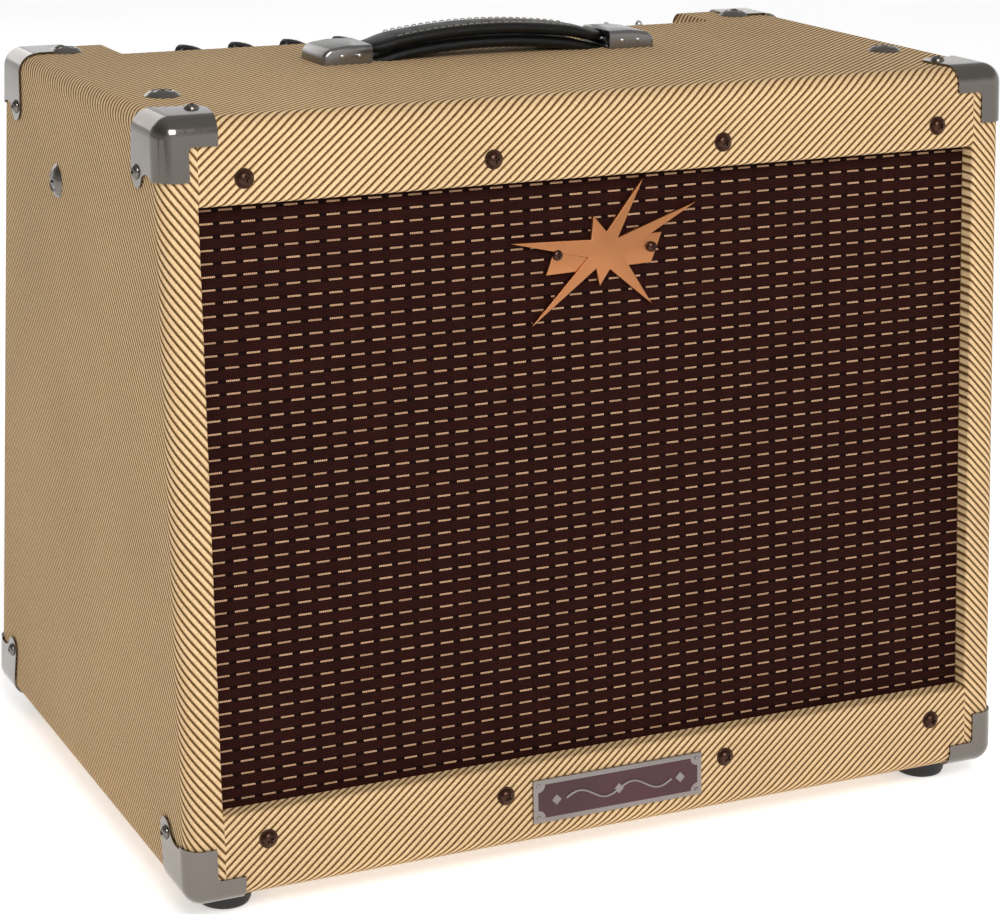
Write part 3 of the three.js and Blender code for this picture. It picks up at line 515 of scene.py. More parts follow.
def new_object(name, data):
    obj = bpy.data.objects.new(name, data)
    bpy.context.scene.collection.objects.link(obj)
    return obj


def as_mesh(name, bm):
    mesh = bpy.data.meshes.new(name)
    bm.to_mesh(mesh)
    bm.free()
    return mesh


def piece(name, bm, materials, body="cabinet", replaces=(), crease=35):
    """Turns bm into an object that rides on a body."""
    mesh = as_mesh(name, bm)
    for material in materials if isinstance(materials, (list, tuple)) else [materials]:
        mesh.materials.append(material)
    mesh.shade_smooth()
    mesh.set_sharp_from_angle(angle=math.radians(crease))
    obj = new_object(name, mesh)
    if body:
        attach(obj, body)
    if replaces:
        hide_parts(*replaces)
    return obj


def combine(base, other, operation):
    """The boolean of two closed bmeshes."""
    objects = [new_object("boolean", as_mesh("boolean", bm)) for bm in (base, other)]
    modifier = objects[0].modifiers.new("cut", "BOOLEAN")
    modifier.operation = operation
    modifier.solver = "MANIFOLD"
    modifier.object = objects[1]
    bpy.context.view_layer.update()
    evaluated = objects[0].evaluated_get(bpy.context.evaluated_depsgraph_get())
    result = bmesh.new()
    result.from_mesh(evaluated.to_mesh())
    evaluated.to_mesh_clear()
    for obj in objects:
        mesh = obj.data
        bpy.data.objects.remove(obj)
        bpy.data.meshes.remove(mesh)
    bmesh.ops.remove_doubles(result, verts=result.verts, dist=1e-6)
    return result


def cad_copy(node):
    """A CAD node's mesh with its shared corners merged and its flat faces joined."""
    bm = bmesh.new()
    bm.from_mesh(NODES[node].data)
    bmesh.ops.remove_doubles(bm, verts=bm.verts, dist=2e-6)
    bmesh.ops.dissolve_limit(bm, angle_limit=math.radians(0.5), verts=bm.verts, edges=bm.edges)
    for layer in list(bm.loops.layers.uv):
        bm.loops.layers.uv.remove(layer)
    return bm


def softened(node, material, width=0.8, body="cabinet", segments=2, degrees=40):
    """Stands for a CAD node with the same form and small rounded edges."""
    bm = cad_copy(node)
    round_edges(bm, sharp_edges(bm, degrees), width, segments)
    return piece(f"{node}_form", bm, material, body, (node,))


# ---------------------------------------------------------------- cabinet covering


def hull(offset, around=40, up=20):
    """The cabinet's rounded outside, grown by an offset in metres."""
    bm = bmesh.new()
    reach = EDGE + offset
    for side in (-1, 1):
        for z in (FLOOR_Z + EDGE, TOP_Z - EDGE):
            for y in (front_y(z) + EDGE / math.cos(FRONT_LEAN), rear_y(z) - EDGE / math.cos(REAR_LEAN)):
                for i in range(up + 1):
                    tilt = math.pi * i / up - math.pi / 2
                    for j in range(1 if i in (0, up) else around):
                        turn = 2 * math.pi * j / around
                        flat = math.cos(tilt)
                        out = Vector((flat * math.cos(turn), flat * math.sin(turn), math.sin(tilt)))
                        bm.verts.new(Vector((side * (HALF_WIDTH - EDGE), y, z)) + out * reach)
    made = bmesh.ops.convex_hull(bm, input=bm.verts)
    inside = {v for v in made["geom_interior"] + made["geom_unused"] if isinstance(v, bmesh.types.BMVert)}
    bmesh.ops.delete(bm, geom=list(inside), context="VERTS")
    bmesh.ops.dissolve_limit(bm, angle_limit=math.radians(0.3), verts=bm.verts, edges=bm.edges)
    return outward(bm)


def prism_x(points, x0, x1):
    """A (y, z) outline in metres, run along X."""
    return solid_between([[(x, y, z) for y, z in points] for x in (x0, x1)])


FAR = 0.4
CORE_X = HALF_WIDTH - EDGE
CORE_LOW, CORE_HIGH = FLOOR_Z + EDGE, TOP_Z - EDGE
SIDE_RUN = CORE_HIGH - CORE_LOW
ARC_RUN = EDGE * QUARTER


def round_the_cabinet(x, z):
    """How far (x, z) is along the cloth: up the left side, over the top, down the right, back underneath."""
    cx = min(max(x, -CORE_X), CORE_X)
    cz = min(max(z, CORE_LOW), CORE_HIGH)
    dx, dz = x - cx, z - cz
    turn = math.atan2(dz, dx) if abs(dx) + abs(dz) > 1e-6 else None
    gaps = {"left": x + HALF_WIDTH, "right": HALF_WIDTH - x, "top": TOP_Z - z, "bottom": z - FLOOR_Z}
    nearest = min(gaps, key=gaps.get)
    run = {"left": 0.0, "top": SIDE_RUN + ARC_RUN, "right": SIDE_RUN + 2 * ARC_RUN + 2 * CORE_X}
    if turn is not None and abs(dx) > 1e-6 and abs(dz) > 1e-6:
        if dx < 0 and dz > 0:
            return SIDE_RUN + EDGE * (math.pi - turn)
        if dx > 0 and dz > 0:
            return run["right"] - EDGE * turn
        if dx > 0:
            return run["right"] + SIDE_RUN + EDGE * -turn
        return -EDGE * (math.pi - abs(turn))
    if nearest == "left":
        return z - CORE_LOW
    if nearest == "top":
        return run["top"] + x + CORE_X
    if nearest == "right":
        return run["right"] + CORE_HIGH - z
    return run["right"] + SIDE_RUN + ARC_RUN + CORE_X - x


def cloth_at(point, centre, normal):
    """The covering's flat coordinates at a corner of the face round centre."""
    x, y, z = point
    depth = centre.y - front_y(centre.z)
    cz = min(max(z, CORE_LOW), CORE_HIGH)
    fore = front_y(cz) + EDGE / math.cos(FRONT_LEAN)
    behind = max(0.0, y - front_y(z) - 0.1 * MM)
    if depth < EDGE * 0.9 and abs(centre.x) > HALF_OPENING - 0.1 * MM:
        run = z - CORE_LOW if x < 0 else SIDE_RUN * 2 + 2 * ARC_RUN + 2 * CORE_X - (z - CORE_LOW)
        if abs(x) > CORE_X:
            turn = math.atan2(max(fore - y, 0.0), abs(x) - CORE_X)
            return run, fore - EDGE * turn
        return run, fore - ARC_RUN - (CORE_X - abs(x))
    in_opening = OPENING_LOW - 1 * MM < centre.z < OPENING_HIGH + 1 * MM
    if depth < EDGE * 0.9 or (abs(normal.x) < 0.5 and depth < RAIL + 1 * MM and in_opening):
        upper = centre.z > (OPENING_LOW + OPENING_HIGH) / 2
        run = round_the_cabinet(x, TOP_Z if upper else FLOOR_Z)
        core = CORE_HIGH if upper else CORE_LOW
        beyond = z - core if upper else core - z
        start = front_y(core) + EDGE / math.cos(FRONT_LEAN)
        if beyond > 0:
            return run, start - EDGE * math.atan2(max(start - y, 0.0), beyond)
        at_edge = (z < OPENING_HIGH + 3 * MM) if upper else (z > OPENING_LOW - 3 * MM)
        return run, start - ARC_RUN + beyond / math.cos(FRONT_LEAN) - (behind if at_edge else 0.0)
    aft = rear_y(cz) - EDGE / math.cos(REAR_LEAN)
    if centre.y > rear_y(centre.z) - 0.6 * EDGE:
        run = round_the_cabinet(x, z)
        inward = min(HALF_WIDTH - abs(x), z - FLOOR_Z, TOP_Z - z)
        return run, aft + ARC_RUN + max(0.0, inward - EDGE)
    by_notch = y > CUT_Y - 1 * MM and abs(x) < CUT_HALF + 1 * MM
    if centre.z > TOP_Z - BOARD - 1 * MM and by_notch and abs(normal.z) < 0.7:
        if abs(normal.y) > abs(normal.x):
            return round_the_cabinet(x, TOP_Z), y + TOP_Z - z
        return round_the_cabinet(x, TOP_Z) + math.copysign(TOP_Z - z, x), y
    return round_the_cabinet(x, z), y


def cover_cabinet():
    """The boards and their covering in one skin, open at the front, the back and over the controls."""
    inner_low, inner_high = FLOOR_Z + BOARD, TOP_Z - BOARD
    hollow = [
        (front_y(OPENING_LOW) - 0.05, OPENING_LOW),
        (front_y(OPENING_LOW) + RAIL, OPENING_LOW),
        (front_y(inner_low) + RAIL, inner_low),
        (FAR, inner_low),
        (FAR, inner_high),
        (front_y(inner_high) + RAIL, inner_high),
        (front_y(OPENING_HIGH) + RAIL, OPENING_HIGH),
        (front_y(OPENING_HIGH) - 0.05, OPENING_HIGH),
    ]
    bm = combine(hull(0), prism_x(hollow, -HALF_OPENING, HALF_OPENING), "DIFFERENCE")
    sill, sky = inner_high - 1 * MM, TOP_Z + 0.05
    notch = [(CUT_Y, sill), (FAR, sill), (FAR, sky), (CUT_Y, sky)]
    bm = combine(bm, prism_x(notch, -CUT_HALF, CUT_HALF), "DIFFERENCE")
    bmesh.ops.dissolve_limit(bm, angle_limit=math.radians(0.3), verts=bm.verts, edges=bm.edges)

    def near(value, target):
        return abs(value - target) < 0.3 * MM

    def around_notch(v):
        return near(v.co.z, TOP_Z) and abs(v.co.x) < CUT_HALF + 0.3 * MM and v.co.y > CUT_Y - 0.3 * MM

    def around_front(v):
        inside = abs(v.co.x) < HALF_OPENING + 0.3 * MM
        level = OPENING_LOW - 0.3 * MM < v.co.z < OPENING_HIGH + 0.3 * MM
        return inside and level and near(v.co.y, front_y(v.co.z))

    def around_back(v):
        inside = abs(v.co.x) < HALF_OPENING + 0.3 * MM and inner_low - 0.3 * MM < v.co.z < TOP_Z
        return inside and near(v.co.y, rear_y(v.co.z))

    for test, width, segments in ((around_notch, 6, 5), (around_front, 2.2, 4), (around_back, 2.5, 3)):
        edges = [e for e in sharp_edges(bm, 50) if all(test(v) for v in e.verts)]
        round_edges(bm, edges, width, segments)
    for x in (-HALF_OPENING, HALF_OPENING):
        everything = list(bm.verts) + list(bm.edges) + list(bm.faces)
        bmesh.ops.bisect_plane(bm, geom=everything, plane_co=(x, 0, 0), plane_no=(1, 0, 0), dist=1e-7)
    bmesh.ops.triangulate(bm, faces=[f for f in bm.faces if len(f.verts) > 4])
    layer = bm.loops.layers.uv.new("cloth")
    for face in bm.faces:
        centre = face.calc_center_median()
        between = inner_low - 0.5 * MM < centre.z < inner_high + 0.5 * MM
        inner = between and abs(centre.x) < HALF_OPENING + 0.5 * MM
        tucked = centre.y - front_y(centre.z) < RAIL - 0.5 * MM or centre.y > rear_y(centre.z) - 4 * MM
        face.material_index = 1 if inner and not tucked else 0
        for loop in face.loops:
            run, fold = cloth_at(loop.vert.co, centre, face.normal)
            loop[layer].uv = (run, fold)
    boards = ("side_left", "side_right", "top_panel", "bottom_panel", "front_rail_top", "front_rail_bottom")
    return piece("cabinet_covering", bm, [tweed, wood_inside], "cabinet", boards, 28)


def flat_cloth(bm, run):
    """Lays a flat layer over bm, with each corner's coordinates from run."""
    layer = bm.loops.layers.uv.new("cloth")
    for face in bm.faces:
        for loop in face.loops:
            loop[layer].uv = run(loop.vert.co)


def cover_back():
    for node in ("back_panel_upper", "back_panel_lower"):
        bm = cad_copy(node)
        round_edges(bm, sharp_edges(bm, 50), 2.5, 4)
        flat_cloth(bm, lambda p: (-p.x, p.z + p.y))
        piece(f"{node}_covering", bm, tweed, "cabinet", (node,), 28)
    screws = bmesh.new()
    for low, high in (back_low, back_high):
        for up in (low.z + 18 * MM, high.z - 18 * MM):
            for x in (-HALF_OPENING + 10 * MM, HALF_OPENING - 10 * MM):
                stamp(screws, PROTOTYPES["cup"], on_rear(x, up))
    piece("back_panel_screws", screws, nickel, "cabinet")
    cleats = bmesh.new()
    for side in (-1, 1):
        x = side * (HALF_OPENING - 7.5 * MM)
        low, high = FLOOR_Z + BOARD + 1 * MM, back_high[1].z - 1 * MM
        y0, y1 = rear_y(low) - 30 * MM, rear_y(high) - 30 * MM
        outline = [(y0, low), (y0 + 17 * MM, low), (y1 + 17 * MM, high), (y1, high)]
        stamp(cleats, prism_x(outline, x - 7.5 * MM, x + 7.5 * MM))
    piece("back_cleats", cleats, wood_inside, "cabinet")


# ---------------------------------------------------------------- screws


def cross_recess(bm, size, top, depth):
    """Cuts a cross slot into the top of a screw head."""
    narrow = size * 0.24
    for bar in ((size, narrow, depth * 2), (narrow, size, depth * 2)):
        slot_bar = block(bar)
        bmesh.ops.translate(slot_bar, vec=(0, 0, top * MM), verts=slot_bar.verts)
        bm = combine(bm, slot_bar, "DIFFERENCE")
    return bm


def dome_head(radius, height, segments=28):
    steps = 6
    turns = [QUARTER * i / steps for i in range(steps)]
    dome = [(radius * math.cos(t), height * math.sin(t)) for t in turns]
    return revolve([(0, -0.4), (radius, -0.4)] + dome + [(0, height)], segments)


def front_head():
    flange = [(0, -0.4), (5.4, -0.4), (5.4, 0.3), (5.0, 0.7), (4.4, 0.7)]
    return revolve(flange + [(4.1, 1.6), (3.4, 2.6), (2.2, 3.3), (0, 3.6)], 32)


def cup_and_head():
    rim = [(0, -0.3), (10, -0.3), (10, 0.2), (9.2, 0.9), (7.6, 2.2), (6.6, 2.7)]
    cup = revolve(rim + [(5.8, 2.4), (5.2, 1.4), (0, 1.2)], 40)
    head = revolve([(0, 0.6), (5.2, 1.2), (4.9, 2.2), (3.2, 3.0), (0, 3.3)], 32)
    return stamp(cup, cross_recess(head, 5.4, 3.3, 1.5))


# Each screw head is modelled once and then stamped.
PROTOTYPES = {
    "front": cross_recess(front_head(), 4.2, 3.6, 1.4),
    "corner": cross_recess(dome_head(4.3, 2.4), 4.4, 2.4, 1.2),
    "cup": cup_and_head(),
    "small": cross_recess(dome_head(3.0, 1.7), 3.2, 1.7, 0.9),
    "pin": dome_head(1.3, 0.8, 16),
}


def add_screws():
    front = bmesh.new()
    for x in FRONT_SCREWS_X:
        for z in (FLOOR_Z + FRONT_SCREW_RISE * MM, TOP_Z - FRONT_SCREW_DROP * MM):
            turn = turned(random.uniform(0, QUARTER), "Z")
            stamp(front, PROTOTYPES["front"], on_front(x * MM, z) @ turn)
    piece("front_rail_screws", front, dark_screw, "cabinet")
    cups = bmesh.new()
    top_front, top_rear = front_y(TOP_Z), rear_y(TOP_Z)
    for side in (-1, 1):
        for y in (top_front + CUP_FROM_FRONT * MM, top_rear - CUP_FROM_REAR * MM):
            turn = turned(random.uniform(0, QUARTER), "Z")
            stamp(cups, PROTOTYPES["cup"], on_top(side * CUP_X * MM, y) @ turn)
        turn = turned(random.uniform(0, QUARTER), "Z")
        beside = on_side(side, SIDE_CUP_Y * MM, TOP_Z - SIDE_CUP_DROP * MM)
        stamp(cups, PROTOTYPES["cup"], beside @ turn)
    piece("cup_washer_screws", cups, nickel, "cabinet")


# ---------------------------------------------------------------- corner protectors

SHEET = 1.2 * MM
SHEET_GAP = 0.3 * MM
MASK_DEPTH = 11
REACH, ARM, LOBE = 32, 14, 8.5
OVER = 3


def arc(cx, cy, radius, start, stop, steps=14):
    turns = [math.radians(start + (stop - start) * i / steps) for i in range(steps + 1)]
    return [(cx + radius * math.cos(t), cy + radius * math.sin(t)) for t in turns]


def side_outline():
    v, h = REACH + 2, REACH - 1
    curve = []
    start, pull, end = (ARM / 2, REACH), (v - 16, h - 4), (v - LOBE, h + 2)
    for i in range(9):
        t = i / 8
        shares = ((1 - t) ** 2, 2 * t * (1 - t), t * t)
        curve.append(tuple(sum(s * v for s, v in zip(shares, abc)) for abc in zip(start, pull, end)))
    return [(-OVER, -OVER), (-OVER, REACH)] + curve + arc(v, h, LOBE, 171, -9) + [(v + 4, -OVER)]


def top_outline():
    u, v = REACH - 4, REACH - 5
    outline = [(-OVER, -OVER), (REACH, -OVER), (REACH + 1, ARM / 2), (u + LOBE, v)]
    return outline + arc(u, v, LOBE, 0, 99)[1:] + [(-OVER, REACH + 5)]


def front_outline():
    wide = ARM + 2
    inner = arc(wide + 2.5, ARM + 2.5, 2.5, 270, 180, 5)
    return [(-OVER, -OVER), (REACH, -OVER), (REACH, ARM)] + inner + [(wide, REACH), (-OVER, REACH)]


def bent_prism(outline, depth, rule):
    """An outline and its copy, each point moved by a rule."""
    levels = (-OVER * MM, depth * MM)
    return solid_between([[rule(a * MM, b * MM, c) for a, b in outline] for c in levels], True)


def add_corners():
    for rise, sz in (("bottom", -1), ("top", 1)):
        for end, sy in (("front", -1), ("rear", 1)):
            def inward(v, h):
                z = TOP_Z - h if sz > 0 else FLOOR_Z + h
                return (front_y(z) + v if sy < 0 else rear_y(z) - v), z

            def place(u, v, h):
                return Vector((-(HALF_WIDTH - u), *inward(v, h)))

            mask = bent_prism(side_outline(), MASK_DEPTH, lambda a, b, c: place(c, a, b))
            arms = [bent_prism(front_outline(), MASK_DEPTH, lambda a, b, c: place(a, c, b))]
            if sz > 0:
                arms.append(bent_prism(top_outline(), MASK_DEPTH, place))
            for arm in arms:
                mask = combine(mask, arm, "UNION")
            outer = hull(SHEET_GAP + SHEET, 48, 24)
            bm = combine(combine(outer, hull(SHEET_GAP, 48, 24), "DIFFERENCE"), mask, "INTERSECT")
            screws = bmesh.new()
            y, z = inward((REACH + 2) * MM, (REACH - 1) * MM)
            stamp(screws, PROTOTYPES["corner"], on_side(-1, y, z, 1.5 * MM))
            if sz > 0:
                y, z = inward((REACH - 5) * MM, 0)
                stamp(screws, PROTOTYPES["corner"], on_top(-HALF_WIDTH + (REACH - 4) * MM, y, 1.5 * MM))
            for side, flip in (("left", False), ("right", True)):
                parts = []
                for source in (bm, screws):
                    copy = source.copy()
                    if flip:
                        bmesh.ops.scale(copy, vec=(-1, 1, 1), verts=copy.verts)
                        bmesh.ops.reverse_faces(copy, faces=copy.faces)
                    parts.append(copy)
                node = f"corner_{rise}_{end}_{side}"
                piece(f"{node}_shell", parts[0], nickel, "cabinet", (node,), 50)
                piece(f"{node}_screws", parts[1], nickel, "cabinet")


# ---------------------------------------------------------------- grille, badge and plate


def add_grille():
    low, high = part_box("grille_cloth")
    columns, rows = 60, 44
    bm = bmesh.new()
    face_depth = low.y - front_y(low.z)
    grid = {}
    for layer, offset in ((0, 0.0), (1, 1.0 * MM)):
        for i in range(columns + 1):
            for j in range(rows + 1):
                s, t = i / columns, j / rows
                x = low.x + (high.x - low.x) * s
                z = low.z + (high.z - low.z) * t
                belly = math.sin(math.pi * s) * math.sin(math.pi * t)
                wave = 0.12 * MM * math.sin(9 * s + 4 * t) * belly
                y = front_y(z) + face_depth + offset + wave
                grid[layer, i, j] = bm.verts.new((x, y, z))
    for i in range(columns):
        for j in range(rows):
            bm.faces.new([grid[0, i, j], grid[0, i + 1, j], grid[0, i + 1, j + 1], grid[0, i, j + 1]])
            bm.faces.new([grid[1, i, j], grid[1, i, j + 1], grid[1, i + 1, j + 1], grid[1, i + 1, j]])
    for i in range(columns):
        for j in (0, rows):
            bm.faces.new([grid[0, i, j], grid[1, i, j], grid[1, i + 1, j], grid[0, i + 1, j]])
    for j in range(rows):
        for i in (0, columns):
            bm.faces.new([grid[0, i, j], grid[0, i, j + 1], grid[1, i, j + 1], grid[1, i, j]])
    outward(bm)
    flat_cloth(bm, lambda p: (p.x - low.x, (OPENING_HIGH - p.z) / math.cos(FRONT_LEAN)))
    cloth = piece("grille_weave_panel", bm, grille_weave, "cabinet", ("grille_cloth",))


def add_badge():
    low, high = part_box("front_badge")
    width, height = (high.x - low.x) / 2 / MM, (high.z - low.z) / 2 / MM / math.cos(FRONT_LEAN)
    centre = (low.z + high.z) / 2
    depth = low.y - front_y(low.z)
    tips = [(1, 0.6), (0.42, 1), (-0.12, 0.52), (-1, 0.22), (-0.8, -1), (-0.06, -0.5), (0.5, -0.82)]
    star = []
    for i, (x, y) in enumerate(tips):
        ahead = tips[(i + 1) % len(tips)]
        star.append((x * width, y * height))
        here, there = Vector((x * width, y * height)), Vector((ahead[0] * width, ahead[1] * height))
        valley = (here.normalized() + there.normalized()).normalized() * 11
        star.append((valley.x, valley.y))
    bm = slab(star, 2.6, 0.5, 2)
    disc = [(width * 0.62, 8), (width * 0.5, -9), (-width * 0.62, -11), (-width * 0.5, 6)]
    stamp(bm, slab(disc, 1.6, 0.4, 2), Matrix.Identity(4), 2)
    place = on_front(0, centre, -depth - 2.9 * MM)
    badge = bmesh.new()
    stamp(badge, bm, place)
    for x in (-width * 0.5, width * 0.5):
        stamp(badge, PROTOTYPES["small"], place @ at(x * MM, 0, 2.5 * MM), 1)
    piece("front_badge_star", badge, [copper, dark_screw, maroon], "cabinet", ("front_badge",))


def add_plate():
    low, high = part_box("name_plate")
    width, height = (high.x - low.x) / MM, (high.z - low.z) / MM / math.cos(FRONT_LEAN)
    w, h, cut = width / 2, height / 2, 4.5
    place = on_front(0, (low.z + high.z) / 2, 0.3 * MM)
    bm = bmesh.new()
    stamp(bm, slab([(-w, -h), (w, -h), (w, h), (-w, h)], 1.4, 0.5, 2), place)
    iw, ih = w - 3, h - 3
    field = []
    for sx, sy in ((-1, -1), (1, -1), (1, 1), (-1, 1)):
        notch = arc(sx * iw, sy * ih, cut, 0, 360, 24)
        inside = [(x, y) for x, y in notch if abs(x) <= iw + 0.01 and abs(y) <= ih + 0.01]
        field += inside
    field = sorted(
        set((round(x, 4), round(y, 4)) for x, y in field),
        key=lambda p: math.atan2(p[1] / ih, p[0] / iw),
    )
    stamp(bm, slab(field, 1.75, 0.2, 1), place, 1)
    wave = []
    for i in range(41):
        t = i / 40
        wave.append(Vector(((-34 + 68 * t) * MM, 3.2 * math.sin(4 * math.pi * t) * MM, 1.8 * MM)))
    stamp(bm, sweep(wave, 0.75, 8), place)
    for x in (-40, 40, 0):
        diamond = [(x - 3.2, 0), (x, -3.2), (x + 3.2, 0), (x, 3.2)]
        stamp(bm, slab(diamond, 2.2, 0.3, 1), place)
    for sx, sy in ((-1, -1), (-1, 1), (1, -1), (1, 1)):
        pin = place @ at(sx * (w - 3.2) * MM, sy * (h - 3.2) * MM, 1.4 * MM)
        stamp(bm, PROTOTYPES["pin"], pin)
    piece("front_plate_ornament", bm, [plate_metal, maroon], "cabinet", ("name_plate",))


# ---------------------------------------------------------------- handle


def add_handle():
    left_low, left_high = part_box("handle_cap_left")
    strap_low, strap_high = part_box("handle_strap")
    y = (left_low.y + left_high.y) / 2
    length, width = (left_high.x - left_low.x) / MM, (left_high.y - left_low.y) / MM
    inner_x = -left_high.x
    for side, sx in (("left", -1), ("right", 1)):
        bm = cad_copy(f"handle_cap_{side}")
        outside = []
        for edge in sharp_edges(bm, 20):
            at_mouth = all(abs(abs(v.co.x) - inner_x) < 0.2 * MM for v in edge.verts)
            under = all(v.co.z < left_low.z + 0.2 * MM for v in edge.verts)
            tunnel = any(abs(v.co.y - y) < (width / 2 - 1) * MM for v in edge.verts)
            if not (at_mouth or under or tunnel):
                outside.append(edge)
        round_edges(bm, outside, 2.6, 5)
        for v in bm.verts:
            if v.co.z < left_low.z + 0.05 * MM:
                v.co.z = TOP_Z + 0.1 * MM
        for dx in (length * 0.27, length * 0.62):
            for face in (-1, 1):
                spot = (sx * (inner_x + dx * MM), y + face * width / 2 * MM, TOP_Z + 5 * MM)
                rivet = Matrix.Translation(spot)
                stamp(bm, PROTOTYPES["pin"], rivet @ turned(-face * QUARTER, "X"), 1)
        node = f"handle_cap_{side}"
        piece(f"{node}_shell", bm, [brushed, chrome], "cabinet", (node,), 40)
        add_half_strap(side, sx, y, strap_low, strap_high)


def add_half_strap(side, sx, y, low, high):
    """Half the handle: two padded leather straps sewn together over a steel band."""
    band_low, band_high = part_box(f"handle_band_{side}")
    band_z = (band_low.z + band_high.z) / 2
    mouth = min(abs(band_low.x), abs(band_high.x)) + 3.5 * MM
    reach = high.x
    crown_z = high.z
    steps, sides = 22, 20
    arch_drop = 6.5 * MM
    half_width, squeeze = 14.0, 5.5
    stitch_row = 11.2 * MM

    def rise(x):
        """The top of the strap at a distance from its middle."""
        t = min(x / reach, 1.0)
        over = max(0.0, (x - reach * 0.8) / (mouth - reach * 0.8))
        fall = (crown_z - arch_drop - (band_z + 4.5 * MM)) * over * over
        return crown_z - arch_drop * t * t - fall

    strap = bmesh.new()
    half_thick = (high.z - low.z) / 2
    for layer in (0, 1):
        rings = []
        for i in range(steps + 1):
            x = (mouth - 0.5 * MM) * i / steps
            closing = max(0.0, (x - reach * 0.92) / (mouth - reach * 0.92))
            wide = (half_width - squeeze * closing ** 1.5) * MM
            gap = 0.35 * MM * (1 - min(1.0, x / reach)) + 0.6 * MM * min(1.0, max(0, x / reach - 0.6) * 2.5)
            thick = half_thick - 0.2 * MM - 1.6 * MM * closing
            upper = rise(x) - (0 if layer == 0 else half_thick + gap / 2)
            crown = 1.3 * MM if layer == 0 else 0.3 * MM
            ring = []
            for k in range(sides):
                turn = 2 * math.pi * k / sides
                across = math.copysign(abs(math.cos(turn)) ** 0.45, math.cos(turn))
                lift = math.copysign(abs(math.sin(turn)) ** 0.6, math.sin(turn))
                dome = crown * (1 - across * across) * (0.5 + 0.5 * lift)
                z = upper - thick / 2 - 0.6 * MM + lift * (thick / 2 - 0.3 * MM) + dome * 0.6
                ring.append(strap.verts.new((sx * x, y + across * wide, z)))
            rings.append(ring)
        for a, b in zip(rings, rings[1:]):
            bridge(strap, a, b)
        strap.faces.new(rings[-1])
        strap.faces.new(rings[0])
    outward(strap)
    stitch_length, pitch = 3.0 * MM, 4.6 * MM
    count = int((reach * 0.93) / pitch)
    for i in range(count):
        x = (i + 0.5) * pitch
        for edge in (-1, 1):
            ends = []
            for dx in (-stitch_length / 2, 0, stitch_length / 2):
                bulge = 0.35 * MM if dx == 0 else -0.1 * MM
                ends.append(Vector((sx * (x + dx), y + edge * stitch_row, rise(x + dx) - 0.55 * MM + bulge)))
            stamp(strap, sweep(ends, 0.34, 6), Matrix.Identity(4), 1)
    body = f"handle_band_{side}"
    half = piece(f"handle_strap_{side}_half", strap, [leather, stitch], None,
                 ("handle_strap",) if side == "left" else (), 50)
    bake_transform(half)
    tongue = block(((band_high.x - band_low.x) / MM, (band_high.y - band_low.y) / MM, 1.4), 0.3, 2)
    bmesh.ops.translate(tongue, vec=((band_low.x + band_high.x) / 2, y, band_z), verts=tongue.verts)
    piece(f"handle_band_{side}_tongue", tongue, steel, body, (body,))


# ---------------------------------------------------------------- controls


def add_knobs():
    for i in range(1, 9):
        node = f"knob_{i}"
        place = Vector(JOINTS[f"{node}_turn"]["pos_m"])
        low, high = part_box(node)
        height = (high.z - low.z) / MM
        base = at(place.x, place.y, low.z) @ turned(math.radians(KNOB_REST_TURN), "Z")
        knob = bmesh.new()
        profile = [(0, 0), (9.4, 0), (9.4, 1.2), (8.9, 1.9), (8.7, 9.8), (8.2, 11.4), (6.8, 12.4), (0, 12.4)]
        stamp(knob, revolve(profile, 40), base)
        nose = [(-10.4, 1.0), (-7, 0.2), (13, 0.2), (16.8, 3.2), (15.2, 11.5), (9.5, 15.5), (4, 17.8)]
        tail = [(-3, 0.985), (-7, 1), (-9.2, 0.93), (-10.4, 0.8)]
        blade = nose + [(x, height * share) for x, share in tail]
        ridge = slab(blade, 6.4)
        round_edges(ridge, sharp_edges(ridge, 60), 1.4, 4)
        upright = at(0, 3.2 * MM, 0) @ turned(QUARTER, "X")
        stamp(knob, ridge, base @ upright)
        slope = ((2, 18.4), (6.5, 16.8), (10, 15.4), (14.9, 11.8))
        line = sweep([Vector((x * MM, 0, z * MM)) for x, z in slope], 0.6, 8)
        stamp(knob, line, base, 1)
        piece(f"{node}_pointer", knob, [bakelite, white_paint], node, (node,), 45)


def add_dial_marks():
    """Eleven ticks round each knob, printed on the panel."""
    marks = bmesh.new()
    level = Vector(JOINTS["knob_1_turn"]["pos_m"]).z
    for i in range(1, 9):
        centre = Vector(JOINTS[f"knob_{i}_turn"]["pos_m"])
        for k in range(DIAL_TICKS):
            turn = math.radians(DIAL_START - DIAL_STEP * k)
            tick = block((2.4 if k % 5 else 3.6, 0.8, 0.2))
            spot = at(centre.x, centre.y, level + 0.1 * MM) @ turned(turn, "Z")
            stamp(marks, tick, spot @ at(DIAL_RADIUS * MM, 0, 0))
            tick.free()
    piece("dial_marks", marks, black_paint, "cabinet")


def add_switches():
    for node in ("standby_switch", "power_switch"):
        softened(node, chrome, 0.3, node, 2, 30)
    for node in ("channel_button", "boost_button"):
        bm = cad_copy(node)
        round_edges(bm, sharp_edges(bm, 40), 0.9, 4)
        piece(f"{node}_cap", bm, bakelite, node, (node,))
    low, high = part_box("pilot_lamp")
    centre = over_middle(low, high, low.z)
    bezel = bmesh.new()
    ring = [(0, 0), (9, 0), (9, 2.2), (8.4, 3), (7.2, 3), (6.9, 3.8), (6.4, 3.8), (6.4, 1), (0, 1)]
    stamp(bezel, revolve(ring, 40), centre)
    piece("pilot_lamp_bezel", bezel, chrome, "cabinet")
    gem = bmesh.new()
    stamp(gem, revolve([(0, 1), (6.2, 1), (6.2, 5.5), (5.4, 8.4), (3.2, 11), (0, 11.6)], 12), centre)
    piece("pilot_lamp_jewel", gem, jewel_red, "cabinet", ("pilot_lamp",), 10)


# ---------------------------------------------------------------- inside and behind


